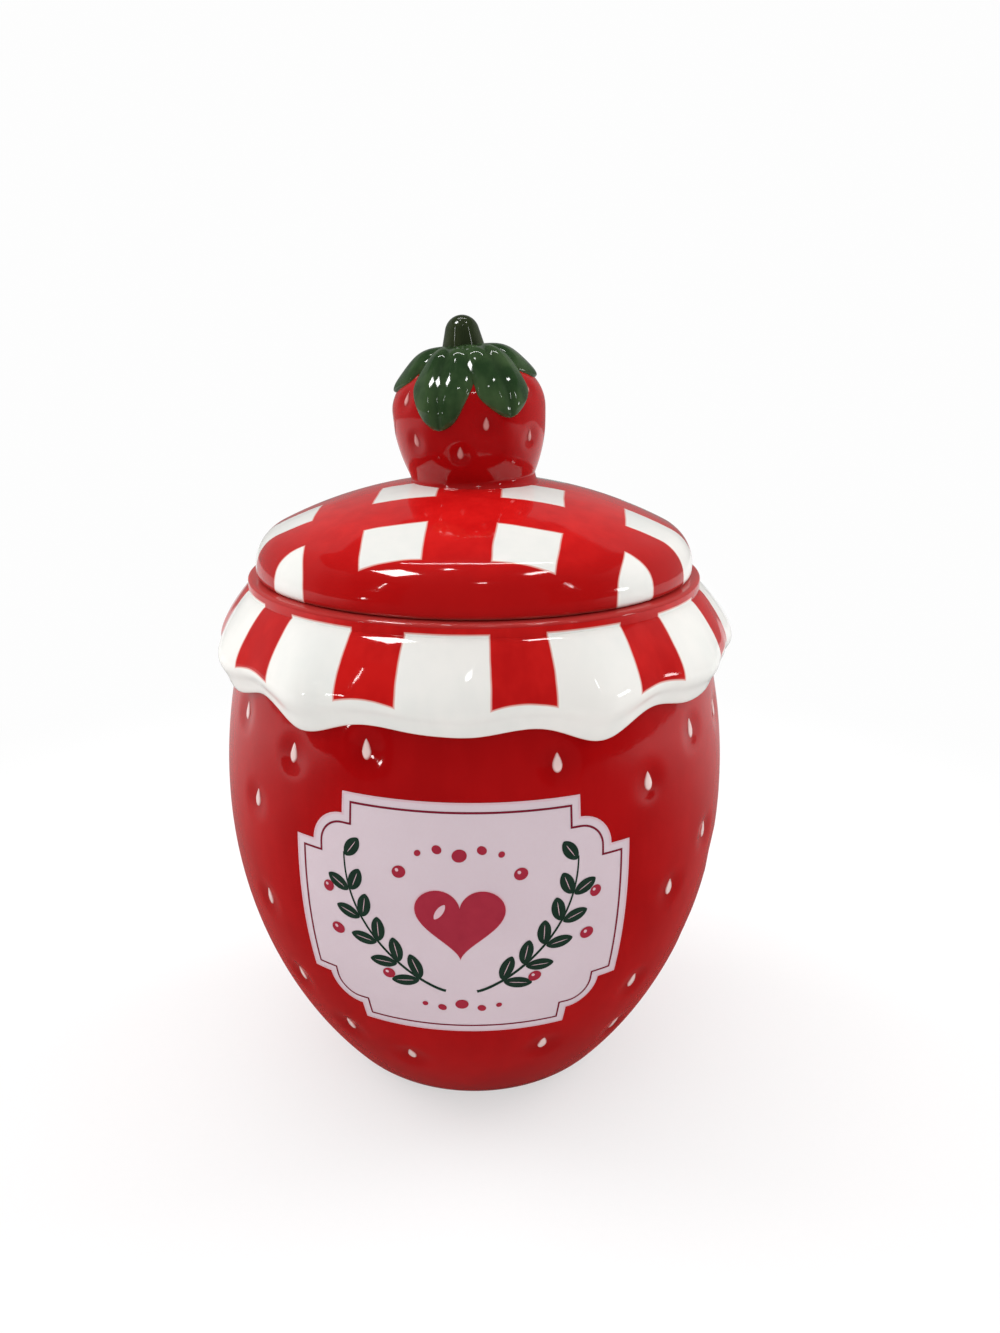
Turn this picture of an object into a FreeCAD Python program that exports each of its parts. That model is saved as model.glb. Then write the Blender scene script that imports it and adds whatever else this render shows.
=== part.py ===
import FreeCAD, Part
import math
import os

import Sketcher
from FreeCAD import Placement, Rotation, Vector

# A glazed ceramic jam jar with a lift-off lid. The jar is one slip-cast piece: a round
# belly on a foot ring, with a moulded "cloth cover" skirt that flares out below the rim.
# The lid is one piece too: a shallow dome with a locating ring underneath and a
# strawberry, with its leaves and stem, as the knob.
# Z is up, the origin is the middle of the foot on the table, and the label faces -Y.

doc = FreeCAD.newDocument("ceramic_jam_jar")

# ---------------------------------------------------------------- driving dimensions, mm

SIZES = {
    # jar side and foot
    "belly_radius": 62.5,        # widest radius of the side
    "belly_height": 74.4,        # height of the widest place
    "foot_inset": 33.0,          # foot edge in from the belly
    "heel_radius": 12.0,         # round between the side and the foot
    "foot_ring_width": 4.5,
    "foot_recess": 1.2,          # depth of the hollow inside the foot ring
    "wall": 4.5,
    "floor_thickness": 6.0,
    "floor_round": 12.0,         # round between the floor and the wall inside
    # rim
    "rim_height": 128.4,         # the flat land that the lid rests on
    "rim_inset": 8.0,            # rim edge in from the belly
    "rim_width": 6.0,            # width of the land, rim edge to mouth
    "rim_round": 0.8,
    "neck_length": 8.5,          # straight neck under the rim
    # moulded skirt, heights measured down from the rim
    "band_drop": 1.5,            # plain band between the rim and the skirt
    "skirt_tuck": 0.4,           # skirt's top edge in from the rim edge
    "ridge_drop": 15.5,          # fold line where the flare turns in
    "ridge_overhang": 5.6,       # fold line out from the jar's side
    "hem_drop": 21.1,            # middle height of the wavy lower edge
    "hem_stand": 2.0,            # lower edge out from the jar's side
    "wave_count": 12,
    "wave_depth": 0.8,           # in and out of the folds, at the ridge
    "wave_droop": 1.15,           # up and down of the lower edge
    "droop_unevenness": 0.8,
    "wave_bearing": 24.8,        # bearing of one fold that stands out
    # pressed spots
    "spot_width": 11.0,
    "spot_depth": 0.7,
    "knob_spot_width": 6.5,
    "knob_spot_depth": 0.5,
    # lid
    "lid_inset": 2.0,            # lid edge in from the rim edge
    "lid_edge_round": 1.4,
    "lid_edge_height": 2.2,      # upright edge, seat to shoulder
    "lid_shoulder": 9.6,
    "lid_rise": 21.9,            # crown of the dome above the seat
    "lid_wall": 5.0,
    "ring_clearance": 1.0,       # locating ring to the mouth, all round
    "ring_width": 4.0,
    "ring_depth": 8.0,
    # strawberry knob, along its own leaning axis
    "knob_base_radius": 14.5,
    "knob_radius": 18.0,
    "knob_belly_height": 15.4,   # widest place above the lid's crown
    "knob_rise": 13.2,           # top of the berry above its widest place
    "knob_shoulder": 10.0,
    "knob_root": 4.0,            # how far it runs down into the dome
    "knob_lean": 4.8,            # degrees, towards -X
    # leaves and stem
    "leaf_thickness": 1.6,
    "leaf_hump": 1.3,            # extra height where a leaf arches over the top of the berry
    "leaf_groove": 0.6,
    "leaf_half_width": 7.2,
    "leaf_sink": 1.0,
    "stem_radius": 4.0,
    "stem_base_radius": 5.2,
    "stem_height": 8.0,          # above the top of the berry
}

sheet = doc.addObject("Spreadsheet::Sheet", "Sizes")
for row, (alias, value) in enumerate(SIZES.items(), start=1):
    sheet.set(f"A{row}", alias.replace("_", " "))
    sheet.set(f"B{row}", str(value))
    sheet.setAlias(f"B{row}", alias)
doc.recompute()


def size(alias):
    return float(sheet.get(alias))


# Where the seeds lie on the side: bearing in degrees from the front (-Y) towards +X, and
# height as a share of the rim's. The label takes the middle of the front, and round the
# back the rows are staggered.
FRONT_SPOTS = [
    (-60, 0.790), (-40, 0.762), (-22, 0.796), (16, 0.779), (37, 0.716), (53, 0.771),
    (-52, 0.653), (-51, 0.460), (-47, 0.298), (-35, 0.211), (-18, 0.170), (71, 0.761),
    (59, 0.560), (45, 0.494), (40, 0.300), (43, 0.164), (17, 0.204),
]
BACK_ROWS = [      # height, first bearing, step, count
    (0.765, 92, 21.5, 9),
    (0.615, 80, 24.0, 9),
    (0.465, 72, 26.0, 9),
    (0.315, 68, 30.0, 8),
    (0.185, 84, 39.0, 6),
]


def back_spots():
    """Rows of evenly stepped spots, each nudged up or down by turns as if placed by hand."""
    return [(bearing + step * i, height + 0.019 * math.sin(2.1 * i + 60 * height))
            for height, bearing, step, count in BACK_ROWS for i in range(count)]


# The same on the berry, with the height as a share of the berry's own.
BERRY_SPOTS = [
    (-54, 0.675), (-45, 0.353), (-9, 0.241), (12, 0.448), (51, 0.315), (54, 0.699),
    (92, 0.441), (122, 0.664), (128, 0.252), (163, 0.469), (-164, 0.238), (-152, 0.678),
    (-130, 0.441), (-95, 0.287), (-82, 0.510),
]
LEAVES = [(-86, 21.5), (-21, 27.5), (30, 26.0), (84, 20.5), (143, 25.0), (-147, 24.5)]   # bearing, reach


# ---------------------------------------------------------------- helpers

def bearing_vector(bearing, radius, height):
    """The point at a bearing from the front, a radius and a height."""
    angle = math.radians(bearing)
    return Vector(radius * math.sin(angle), -radius * math.cos(angle), height)


def arc(centre_x, centre_y, radius, start, end):
    """An anticlockwise arc between two angles in degrees."""
    circle = Part.Circle(Vector(centre_x, centre_y, 0), Vector(0, 0, 1), radius)
    return Part.ArcOfCircle(circle, math.radians(start), math.radians(end))


def line(x1, y1, x2, y2):
    return Part.LineSegment(Vector(x1, y1, 0), Vector(x2, y2, 0))


def new_body(name):
    return doc.addObject("PartDesign::Body", name)


def origin_plane(body, role):
    return next(plane for plane in body.Origin.OriginFeatures if plane.Role == role)


def profile_sketch(body, name, pieces):
    """A closed half section in the XZ plane of a body: x is the radius, y is the height.

    pieces are (geometry, direction, joint): direction is +1 where the outline runs from the
    piece's start to its end, and joint is "tangent" or "meet", for its corner with the next."""
    sketch = body.newObject("Sketcher::SketchObject", name)
    sketch.AttachmentSupport = (origin_plane(body, "XZ_Plane"), [""])
    sketch.MapMode = "FlatFace"
    sketch.addGeometry([geometry for geometry, _, _ in pieces], False)
    for i, (_, direction, joint) in enumerate(pieces):
        j = (i + 1) % len(pieces)
        last = 2 if direction > 0 else 1
        first = 1 if pieces[j][1] > 0 else 2
        kind = "Tangent" if joint == "tangent" else "Coincident"
        sketch.addConstraint(Sketcher.Constraint(kind, i, last, j, first))
        if isinstance(pieces[i][0], Part.LineSegment):
            run = pieces[i][0].EndPoint - pieces[i][0].StartPoint
            if math.isclose(run.y, 0, abs_tol=1e-9):
                sketch.addConstraint(Sketcher.Constraint("Horizontal", i))
            elif math.isclose(run.x, 0, abs_tol=1e-9):
                sketch.addConstraint(Sketcher.Constraint("Vertical", i))
    return sketch


def drive(sketch, name, constraint, expression):
    """Add a named dimension to a sketch and tie it to the sheet."""
    index = sketch.addConstraint(constraint)
    sketch.renameConstraint(index, name)
    sketch.setExpression("Constraints." + name, expression)


def reference(sketch, name, constraint):
    """Add a named dimension that only reports a size which the outline settles."""
    index = sketch.addConstraint(constraint)
    sketch.setDriving(index, False)
    sketch.renameConstraint(index, name)


def revolve(body, sketch, name):
    feature = body.newObject("PartDesign::Revolution", name)
    feature.Profile = sketch
    feature.ReferenceAxis = (sketch, ["V_Axis"])
    feature.Angle = 360
    return feature


# ---------------------------------------------------------------- sizes worked out once

foot_radius = size("belly_radius") - size("foot_inset")
rim_radius = size("belly_radius") - size("rim_inset")
mouth_radius = rim_radius - size("rim_width")
neck_height = size("rim_height") - size("neck_length")


def lower_side_radius():
    """The arc that leaves the belly upright and runs tangent into the heel round."""
    inset, heel = size("foot_inset"), size("heel_radius")
    height = size("belly_height") - heel
    return (inset ** 2 + height ** 2 - heel ** 2) / (2 * (inset - heel))


def upper_side_radius():
    """The arc that leaves the belly upright and meets the foot of the neck."""
    inset, height = size("rim_inset"), neck_height - size("belly_height")
    return (inset ** 2 + height ** 2) / (2 * inset)


def dome_radius(edge_radius, shoulder, rise):
    """The crown arc, centred on the axis, that runs tangent into a shoulder arc."""
    return ((edge_radius - shoulder) ** 2 + rise ** 2 - shoulder ** 2) / (2 * (rise - shoulder))


def side_point(height):
    """Radius of the jar's side at a height, and the slope of its normal in degrees."""
    radius = upper_side_radius() if height > size("belly_height") else lower_side_radius()
    rise = height - size("belly_height")
    drop = radius - math.sqrt(radius ** 2 - rise ** 2)
    return size("belly_radius") - drop, math.degrees(math.asin(rise / radius))


# ---------------------------------------------------------------- jar: side, foot and rim

LOWER, UPPER = lower_side_radius(), upper_side_radius()


def vessel_profile(body, name, inset, bottom, corner, lip_radius, top, lip_round):
    """Half section of the jar, or of its cavity: a flat bottom, a corner round, two side arcs
    that meet upright at the belly, a straight lip and a flat top. inset is the distance in
    from the jar's outer side, and the side arcs keep the outer side's centres."""
    low, high = LOWER - inset, UPPER - inset
    belly, middle = size("belly_radius") - inset, size("belly_height")
    corner_height = middle - bottom - corner
    corner_x = belly - low + math.sqrt((low - corner) ** 2 - corner_height ** 2)
    corner_angle = -math.degrees(math.asin(corner_height / (low - corner)))
    lip_angle = math.degrees(math.acos((lip_radius - belly + high) / high))
    lip_foot = middle + high * math.sin(math.radians(lip_angle))
    pieces = [
        (line(0, bottom, corner_x, bottom), 1, "tangent"),
        (arc(corner_x, bottom + corner, corner, -90, corner_angle), 1, "tangent"),
        (arc(belly - low, middle, low, corner_angle, 0), 1, "tangent"),
        (arc(belly - high, middle, high, 0, lip_angle), 1, "meet"),
    ]
    if lip_round:
        pieces += [
            (line(lip_radius, lip_foot, lip_radius, top - lip_round), 1, "tangent"),
            (arc(lip_radius - lip_round, top - lip_round, lip_round, 0, 90), 1, "tangent"),
            (line(lip_radius - lip_round, top, 0, top), 1, "meet"),
        ]
    else:
        pieces += [
            (line(lip_radius, lip_foot, lip_radius, top), 1, "meet"),
            (line(lip_radius, top, 0, top), 1, "meet"),
        ]
    pieces.append((line(0, top, 0, bottom), 1, "meet"))
    sketch = profile_sketch(body, name, pieces)
    axis_line = len(pieces) - 1
    sketch.addConstraint(Sketcher.Constraint("PointOnObject", axis_line, 1, -2))
    sketch.addConstraint(Sketcher.Constraint("Horizontal", 2, 2, 2, 3))
    return sketch


jar_body = new_body("JarOuter")
outer = vessel_profile(jar_body, "OuterProfile", 0, 0, size("heel_radius"), rim_radius,
                       size("rim_height"), size("rim_round"))
outer.addConstraint(Sketcher.Constraint("PointOnObject", 0, 1, -1))
Dimension = Sketcher.Constraint
drive(outer, "foot", Dimension("DistanceX", -1, 1, 0, 2, foot_radius),
      "Sizes.belly_radius - Sizes.foot_inset")
drive(outer, "heel", Dimension("Radius", 1, size("heel_radius")), "Sizes.heel_radius")
drive(outer, "belly", Dimension("DistanceX", -1, 1, 2, 2, size("belly_radius")), "Sizes.belly_radius")
drive(outer, "middle", Dimension("DistanceY", -1, 1, 2, 2, size("belly_height")), "Sizes.belly_height")
drive(outer, "rim", Dimension("DistanceX", -1, 1, 3, 2, rim_radius),
      "Sizes.belly_radius - Sizes.rim_inset")
drive(outer, "neck", Dimension("DistanceY", -1, 1, 3, 2, neck_height),
      "Sizes.rim_height - Sizes.neck_length")
drive(outer, "round", Dimension("Radius", 5, size("rim_round")), "Sizes.rim_round")
drive(outer, "top", Dimension("DistanceY", -1, 1, 6, 1, size("rim_height")), "Sizes.rim_height")
reference(outer, "lower_side", Dimension("Radius", 2, LOWER))
reference(outer, "upper_side", Dimension("Radius", 3, UPPER))
revolve(jar_body, outer, "Side")

recess = jar_body.newObject("Sketcher::SketchObject", "FootRecessCircle")
recess.AttachmentSupport = (origin_plane(jar_body, "XY_Plane"), [""])
recess.MapMode = "FlatFace"
recess_radius = foot_radius - size("foot_ring_width")
recess.addGeometry(Part.Circle(Vector(0, 0, 0), Vector(0, 0, 1), recess_radius), False)
recess.addConstraint(Sketcher.Constraint("Coincident", 0, 3, -1, 1))
drive(recess, "radius", Dimension("Radius", 0, recess_radius),
      "Sizes.belly_radius - Sizes.foot_inset - Sizes.foot_ring_width")
doc.recompute()
solid_foot_volume = jar_body.Shape.Volume
foot_pocket = jar_body.newObject("PartDesign::Pocket", "FootRecess")
foot_pocket.Profile = recess
foot_pocket.setExpression("Length", "Sizes.foot_recess")
foot_pocket.Reversed = True
doc.recompute()
recess_volume = math.pi * recess_radius ** 2 * size("foot_recess")
assert math.isclose(solid_foot_volume - jar_body.Shape.Volume, recess_volume, rel_tol=1e-3)

# ---------------------------------------------------------------- jar: the space inside

cavity_body = new_body("JarCavity")
inner = vessel_profile(cavity_body, "CavityProfile", size("wall"), size("floor_thickness"),
                       size("floor_round"), mouth_radius, size("rim_height"), 0)
drive(inner, "floor", Dimension("DistanceY", -1, 1, 0, 1, size("floor_thickness")),
      "Sizes.floor_thickness")
drive(inner, "corner", Dimension("Radius", 1, size("floor_round")), "Sizes.floor_round")
drive(inner, "lower_side", Dimension("Radius", 2, LOWER - size("wall")),
      "OuterProfile.Constraints.lower_side - Sizes.wall * 1mm")
drive(inner, "upper_side", Dimension("Radius", 3, UPPER - size("wall")),
      "OuterProfile.Constraints.upper_side - Sizes.wall * 1mm")
drive(inner, "belly", Dimension("DistanceX", -1, 1, 2, 2, size("belly_radius") - size("wall")),
      "Sizes.belly_radius - Sizes.wall")
drive(inner, "middle", Dimension("DistanceY", -1, 1, 2, 2, size("belly_height")), "Sizes.belly_height")
drive(inner, "mouth", Dimension("DistanceX", -1, 1, 3, 2, mouth_radius),
      "Sizes.belly_radius - Sizes.rim_inset - Sizes.rim_width")
drive(inner, "top", Dimension("DistanceY", -1, 1, 5, 1, size("rim_height")), "Sizes.rim_height")
revolve(cavity_body, inner, "Cavity")

# ---------------------------------------------------------------- jar: pressed seed spots


def spot_spheres(name, spots, full_height, width, depth, surface, placement):
    """Spheres that each press a round dimple of a width and depth into a surface.

    spots are (bearing, share of the full height), and surface(bearing, height) gives the
    point there and its outward normal."""
    radius = (width ** 2 / 4 + depth ** 2) / (2 * depth)
    spheres = []
    for i, (bearing, share) in enumerate(spots):
        sphere = doc.addObject("Part::Sphere", f"{name}{i}")
        sphere.Radius = radius
        point, normal = surface(bearing, share * full_height)
        sphere.Placement = placement * Placement(point + normal * (radius - depth), Rotation())
        spheres.append(sphere)
    group = doc.addObject("Part::Compound", name)
    group.Links = spheres
    return group


def jar_surface(bearing, height):
    radius, slope = side_point(height)
    angle = math.radians(slope)
    normal = bearing_vector(bearing, math.cos(angle), math.sin(angle))
    return bearing_vector(bearing, radius, height), normal


jar_spots = spot_spheres("JarSpots", FRONT_SPOTS + back_spots(), size("rim_height"),
                         size("spot_width"), size("spot_depth"), jar_surface, Placement())

# ---------------------------------------------------------------- jar: moulded cloth skirt


def skirt_rows():
    """The skirt's section from the rim down and back into the wall, as control points.

    Each row is (radius, height, share of the wave, share of the droop)."""
    top = size("rim_height") - size("band_drop")
    ridge = size("rim_height") - size("ridge_drop")
    hem = size("rim_height") - size("hem_drop")
    top_radius = rim_radius - size("skirt_tuck")
    ridge_radius = side_point(ridge)[0] + size("ridge_overhang")
    hem_radius = side_point(hem)[0] + size("hem_stand")
    inside = mouth_radius - size("wall")
    flare = ridge_radius - top_radius
    fall = top - ridge
    return [
        (inside, top, 0, 0),
        (top_radius - 0.1 * flare, top, 0, 0),
        (top_radius + 0.16 * flare, top - 0.12 * fall, 0.1, 0),
        (top_radius + 0.66 * flare, top - 0.49 * fall, 0.55, 0),
        (ridge_radius - 0.01 * flare, ridge + 0.19 * fall, 1.0, 0.2),
        (ridge_radius + 0.07 * flare, ridge - 0.06 * fall, 1.1, 0.4),
        (0.45 * ridge_radius + 0.55 * hem_radius, 0.5 * ridge + 0.5 * hem, 1.0, 0.8),
        (hem_radius + 0.5, hem + 0.6, 0.8, 1.1),
        (hem_radius - 0.4, hem - 0.9, 0.6, 1.15),
        (hem_radius - 0.9 * size("hem_stand"), hem + 0.2, 0.2, 1.0),
        (inside, hem + 1.0, 0, 0),
        (inside - 1, hem + 1.0, 0, 0),
    ]


def skirt_ring(radius, height, wave_share, droop_share, stations):
    """One closed ring of the skirt: folds stand out and hang lower by turns."""
    points = []
    for i in range(stations):
        angle = 2 * math.pi * i / stations
        turn = angle - math.radians(size("wave_bearing"))
        fold = math.cos(size("wave_count") * turn)
        sway = math.cos(5 * (turn - math.radians(4)))
        wave = size("wave_depth") * (fold + 0.12 * math.cos(2 * size("wave_count") * turn))
        droop = size("wave_droop") * fold + size("droop_unevenness") * sway * (fold + 0.67)
        points.append(bearing_vector(math.degrees(angle), radius + wave_share * wave,
                                     height - droop_share * droop))
    return points


def skirt_solid():
    """A smooth surface through the rings, cubic both ways, closed by two flat discs."""
    stations = 8 * int(size("wave_count"))
    rows = skirt_rows()
    poles = []
    for row in rows:
        ring = Part.BSplineCurve()
        ring.interpolate(Points=skirt_ring(*row, stations), PeriodicFlag=True,
                         Parameters=[i / stations for i in range(stations + 1)])
        poles.append(ring.getPoles())
        around = ring.getKnots(), ring.getMultiplicities()
    spans = len(rows) - 3
    surface = Part.BSplineSurface()
    surface.buildFromPolesMultsKnots(
        [list(column) for column in zip(*poles)], around[1], [4] + [1] * (spans - 1) + [4],
        around[0], [i / spans for i in range(spans + 1)], True, False, 3, 3)
    side = surface.toShape()
    rims = [edge for edge in side.Edges if edge.isClosed() and not edge.isSeam(side.Faces[0])]
    shell = Part.makeShell([side] + [Part.Face(Part.Wire(edge)) for edge in rims])
    shell.sewShape()
    solid = Part.Solid(shell)
    if solid.Volume < 0:
        solid.reverse()
    return solid


skirt = doc.addObject("Part::Feature", "Skirt")
skirt.Shape = skirt_solid()

# The dimples are pressed first, so that the skirt hangs over the upper ones untouched.
pressed = doc.addObject("Part::Cut", "PressedSide")
pressed.Base = jar_body
pressed.Tool = jar_spots
skirted = doc.addObject("Part::Fuse", "SkirtedSide")
skirted.Base = pressed
skirted.Tool = skirt
jar = doc.addObject("Part::Cut", "jar")
jar.Base = skirted
jar.Tool = cavity_body
jar.Label = "jar"

# ---------------------------------------------------------------- lid: dome and locating ring

lid_radius = rim_radius - size("lid_inset")
ring_outer = mouth_radius - size("ring_clearance")
ring_inner = ring_outer - size("ring_width")
crown_height = size("rim_height") + size("lid_rise")
shoulder_height = size("rim_height") + size("lid_edge_height")
DOME = dome_radius(lid_radius, size("lid_shoulder"), size("lid_rise") - size("lid_edge_height"))
dome_centre = crown_height - DOME

lid_body = new_body("LidDish")
seat = size("rim_height")
edge_round, shoulder = size("lid_edge_round"), size("lid_shoulder")
under = DOME - size("lid_wall")
under_edge = dome_centre + math.sqrt(under ** 2 - ring_inner ** 2)
under_angle = math.degrees(math.acos(ring_inner / under))
shoulder_angle = math.degrees(math.acos((lid_radius - shoulder) / (DOME - shoulder)))
ring_tip = size("ring_width") / 2
ring_foot = seat - size("ring_depth") + ring_tip
dish = profile_sketch(lid_body, "DishProfile", [
    (arc(0, dome_centre, under, under_angle, 90), -1, "meet"),
    (line(ring_inner, under_edge, ring_inner, ring_foot), 1, "tangent"),
    (arc(ring_inner + ring_tip, ring_foot, ring_tip, 180, 360), 1, "tangent"),
    (line(ring_outer, ring_foot, ring_outer, seat), 1, "meet"),
    (line(ring_outer, seat, lid_radius - edge_round, seat), 1, "tangent"),
    (arc(lid_radius - edge_round, seat + edge_round, edge_round, -90, 0), 1, "tangent"),
    (line(lid_radius, seat + edge_round, lid_radius, shoulder_height), 1, "tangent"),
    (arc(lid_radius - shoulder, shoulder_height, shoulder, 0, shoulder_angle), 1, "tangent"),
    (arc(0, dome_centre, DOME, shoulder_angle, 90), 1, "meet"),
    (line(0, crown_height, 0, dome_centre + under), 1, "meet"),
])
dish.addConstraint(Sketcher.Constraint("PointOnObject", 9, 1, -2))
dish.addConstraint(Sketcher.Constraint("PointOnObject", 8, 3, -2))
dish.addConstraint(Sketcher.Constraint("Coincident", 0, 3, 8, 3))
rim_expression = "Sizes.belly_radius - Sizes.rim_inset"
ring_expression = rim_expression + " - Sizes.rim_width - Sizes.ring_clearance"
drive(dish, "ring_inner", Dimension("DistanceX", -1, 1, 1, 1, ring_inner),
      ring_expression + " - Sizes.ring_width")
drive(dish, "ring_outer", Dimension("DistanceX", -1, 1, 3, 1, ring_outer), ring_expression)
drive(dish, "ring_foot", Dimension("DistanceY", -1, 1, 3, 1, ring_foot),
      "Sizes.rim_height - Sizes.ring_depth + Sizes.ring_width / 2")
drive(dish, "seat", Dimension("DistanceY", -1, 1, 4, 1, seat), "Sizes.rim_height")
drive(dish, "edge_round", Dimension("Radius", 5, edge_round), "Sizes.lid_edge_round")
drive(dish, "edge", Dimension("DistanceX", -1, 1, 6, 2, lid_radius),
      rim_expression + " - Sizes.lid_inset")
drive(dish, "edge_top", Dimension("DistanceY", -1, 1, 6, 2, shoulder_height),
      "Sizes.rim_height + Sizes.lid_edge_height")
drive(dish, "shoulder", Dimension("Radius", 7, shoulder), "Sizes.lid_shoulder")
drive(dish, "crown", Dimension("DistanceY", -1, 1, 8, 2, crown_height),
      "Sizes.rim_height + Sizes.lid_rise")
drive(dish, "wall", Dimension("DistanceY", 9, 2, 9, 1, size("lid_wall")), "Sizes.lid_wall")
revolve(lid_body, dish, "Dish")

# ---------------------------------------------------------------- lid: strawberry knob

# The berry has its own axis: it stands on the crown of the dome and leans to one side.
knob_placement = Placement(Vector(0, 0, crown_height), Rotation(Vector(0, 1, 0), -size("knob_lean")))
belly_z, berry_radius = size("knob_belly_height"), size("knob_radius")
berry_shoulder = size("knob_shoulder")
berry_crown = belly_z + size("knob_rise")
BERRY_TOP = dome_radius(berry_radius, berry_shoulder, size("knob_rise"))
cheek_inset = berry_radius - size("knob_base_radius")
CHEEK = (cheek_inset ** 2 + belly_z ** 2) / (2 * cheek_inset)
top_angle = math.degrees(math.acos((berry_radius - berry_shoulder) / (BERRY_TOP - berry_shoulder)))
cheek_angle = -math.degrees(math.asin(belly_z / CHEEK))

berry_body = new_body("Berry")
berry = profile_sketch(berry_body, "BerryProfile", [
    (line(0, -size("knob_root"), size("knob_base_radius"), -size("knob_root")), 1, "meet"),
    (line(size("knob_base_radius"), -size("knob_root"), size("knob_base_radius"), 0), 1, "meet"),
    (arc(berry_radius - CHEEK, belly_z, CHEEK, cheek_angle, 0), 1, "tangent"),
    (arc(berry_radius - berry_shoulder, belly_z, berry_shoulder, 0, top_angle), 1, "tangent"),
    (arc(0, berry_crown - BERRY_TOP, BERRY_TOP, top_angle, 90), 1, "meet"),
    (line(0, berry_crown, 0, -size("knob_root")), 1, "meet"),
])
berry.addConstraint(Sketcher.Constraint("PointOnObject", 5, 1, -2))
berry.addConstraint(Sketcher.Constraint("PointOnObject", 4, 3, -2))
berry.addConstraint(Sketcher.Constraint("PointOnObject", 1, 2, -1))
berry.addConstraint(Sketcher.Constraint("Horizontal", 2, 2, 2, 3))
drive(berry, "root", Dimension("DistanceY", 0, 1, -1, 1, size("knob_root")), "Sizes.knob_root")
drive(berry, "base", Dimension("DistanceX", -1, 1, 1, 2, size("knob_base_radius")),
      "Sizes.knob_base_radius")
drive(berry, "belly", Dimension("DistanceX", -1, 1, 2, 2, berry_radius), "Sizes.knob_radius")
drive(berry, "middle", Dimension("DistanceY", -1, 1, 2, 2, belly_z), "Sizes.knob_belly_height")
drive(berry, "shoulder", Dimension("Radius", 3, berry_shoulder), "Sizes.knob_shoulder")
drive(berry, "crown", Dimension("DistanceY", -1, 1, 4, 2, berry_crown),
      "Sizes.knob_belly_height + Sizes.knob_rise")
revolve(berry_body, berry, "BerrySolid")
berry_body.Placement = knob_placement


def berry_point(reach):
    """Radius, height and normal angle on the berry, a distance down from the middle of its top."""
    top_sweep = math.radians(90 - top_angle)
    shoulder_sweep = math.radians(top_angle)
    if reach < BERRY_TOP * top_sweep:
        centre, radius, angle = (0, berry_crown - BERRY_TOP), BERRY_TOP, math.pi / 2 - reach / BERRY_TOP
    elif reach < BERRY_TOP * top_sweep + berry_shoulder * shoulder_sweep:
        centre, radius = (berry_radius - berry_shoulder, belly_z), berry_shoulder
        angle = shoulder_sweep - (reach - BERRY_TOP * top_sweep) / berry_shoulder
    else:
        centre, radius = (berry_radius - CHEEK, belly_z), CHEEK
        angle = -(reach - BERRY_TOP * top_sweep - berry_shoulder * shoulder_sweep) / CHEEK
    return centre[0] + radius * math.cos(angle), centre[1] + radius * math.sin(angle), angle


def reach_at_height(height):
    """How far down from the top the berry's side is at a height, by halving the interval."""
    low, high = 0.0, BERRY_TOP * math.pi
    for _ in range(40):
        middle = (low + high) / 2
        low, high = (middle, high) if berry_point(middle)[1] > height else (low, middle)
    return low


def berry_surface(bearing, height):
    radius, height, angle = berry_point(reach_at_height(height))
    normal = bearing_vector(bearing, math.cos(angle), math.sin(angle))
    return bearing_vector(bearing, radius, height), normal


berry_spots = spot_spheres("BerrySpots", BERRY_SPOTS, berry_crown, size("knob_spot_width"),
                           size("knob_spot_depth"), berry_surface, knob_placement)
pressed_berry = doc.addObject("Part::Cut", "PressedBerry")
pressed_berry.Base = berry_body
pressed_berry.Tool = berry_spots

# ---------------------------------------------------------------- lid: stem and leaves

stem_top = berry_crown + size("stem_height")
stem_radius, stem_base = size("stem_radius"), size("stem_base_radius")
round_centre = stem_top - stem_radius
tangent_angle = math.degrees(math.atan2(berry_crown - round_centre, stem_base)
                             + math.acos(stem_radius / math.hypot(stem_base, berry_crown - round_centre)))
stem_shoulder = arc(0, round_centre, stem_radius, tangent_angle, 90)

stem_body = new_body("Stem")
stem = profile_sketch(stem_body, "StemProfile", [
    (line(0, belly_z, stem_base, belly_z), 1, "meet"),
    (line(stem_base, belly_z, stem_base, berry_crown), 1, "meet"),
    (line(stem_base, berry_crown, stem_shoulder.StartPoint.x, stem_shoulder.StartPoint.y), 1, "tangent"),
    (stem_shoulder, 1, "meet"),
    (line(0, stem_top, 0, belly_z), 1, "meet"),
])
stem.addConstraint(Sketcher.Constraint("PointOnObject", 4, 1, -2))
stem.addConstraint(Sketcher.Constraint("PointOnObject", 3, 3, -2))
drive(stem, "root", Dimension("DistanceY", -1, 1, 0, 1, belly_z), "Sizes.knob_belly_height")
drive(stem, "base", Dimension("DistanceX", -1, 1, 1, 2, stem_base), "Sizes.stem_base_radius")
drive(stem, "foot", Dimension("DistanceY", -1, 1, 1, 2, berry_crown),
      "Sizes.knob_belly_height + Sizes.knob_rise")
drive(stem, "radius", Dimension("Radius", 3, stem_radius), "Sizes.stem_radius")
drive(stem, "top", Dimension("DistanceY", -1, 1, 3, 2, stem_top),
      "Sizes.knob_belly_height + Sizes.knob_rise + Sizes.stem_height")
revolve(stem_body, stem, "StemSolid")
stem_body.Placement = knob_placement


HUMP_REACH, HUMP_SPREAD = 1.7 * stem_base, 0.9 * stem_base


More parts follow.
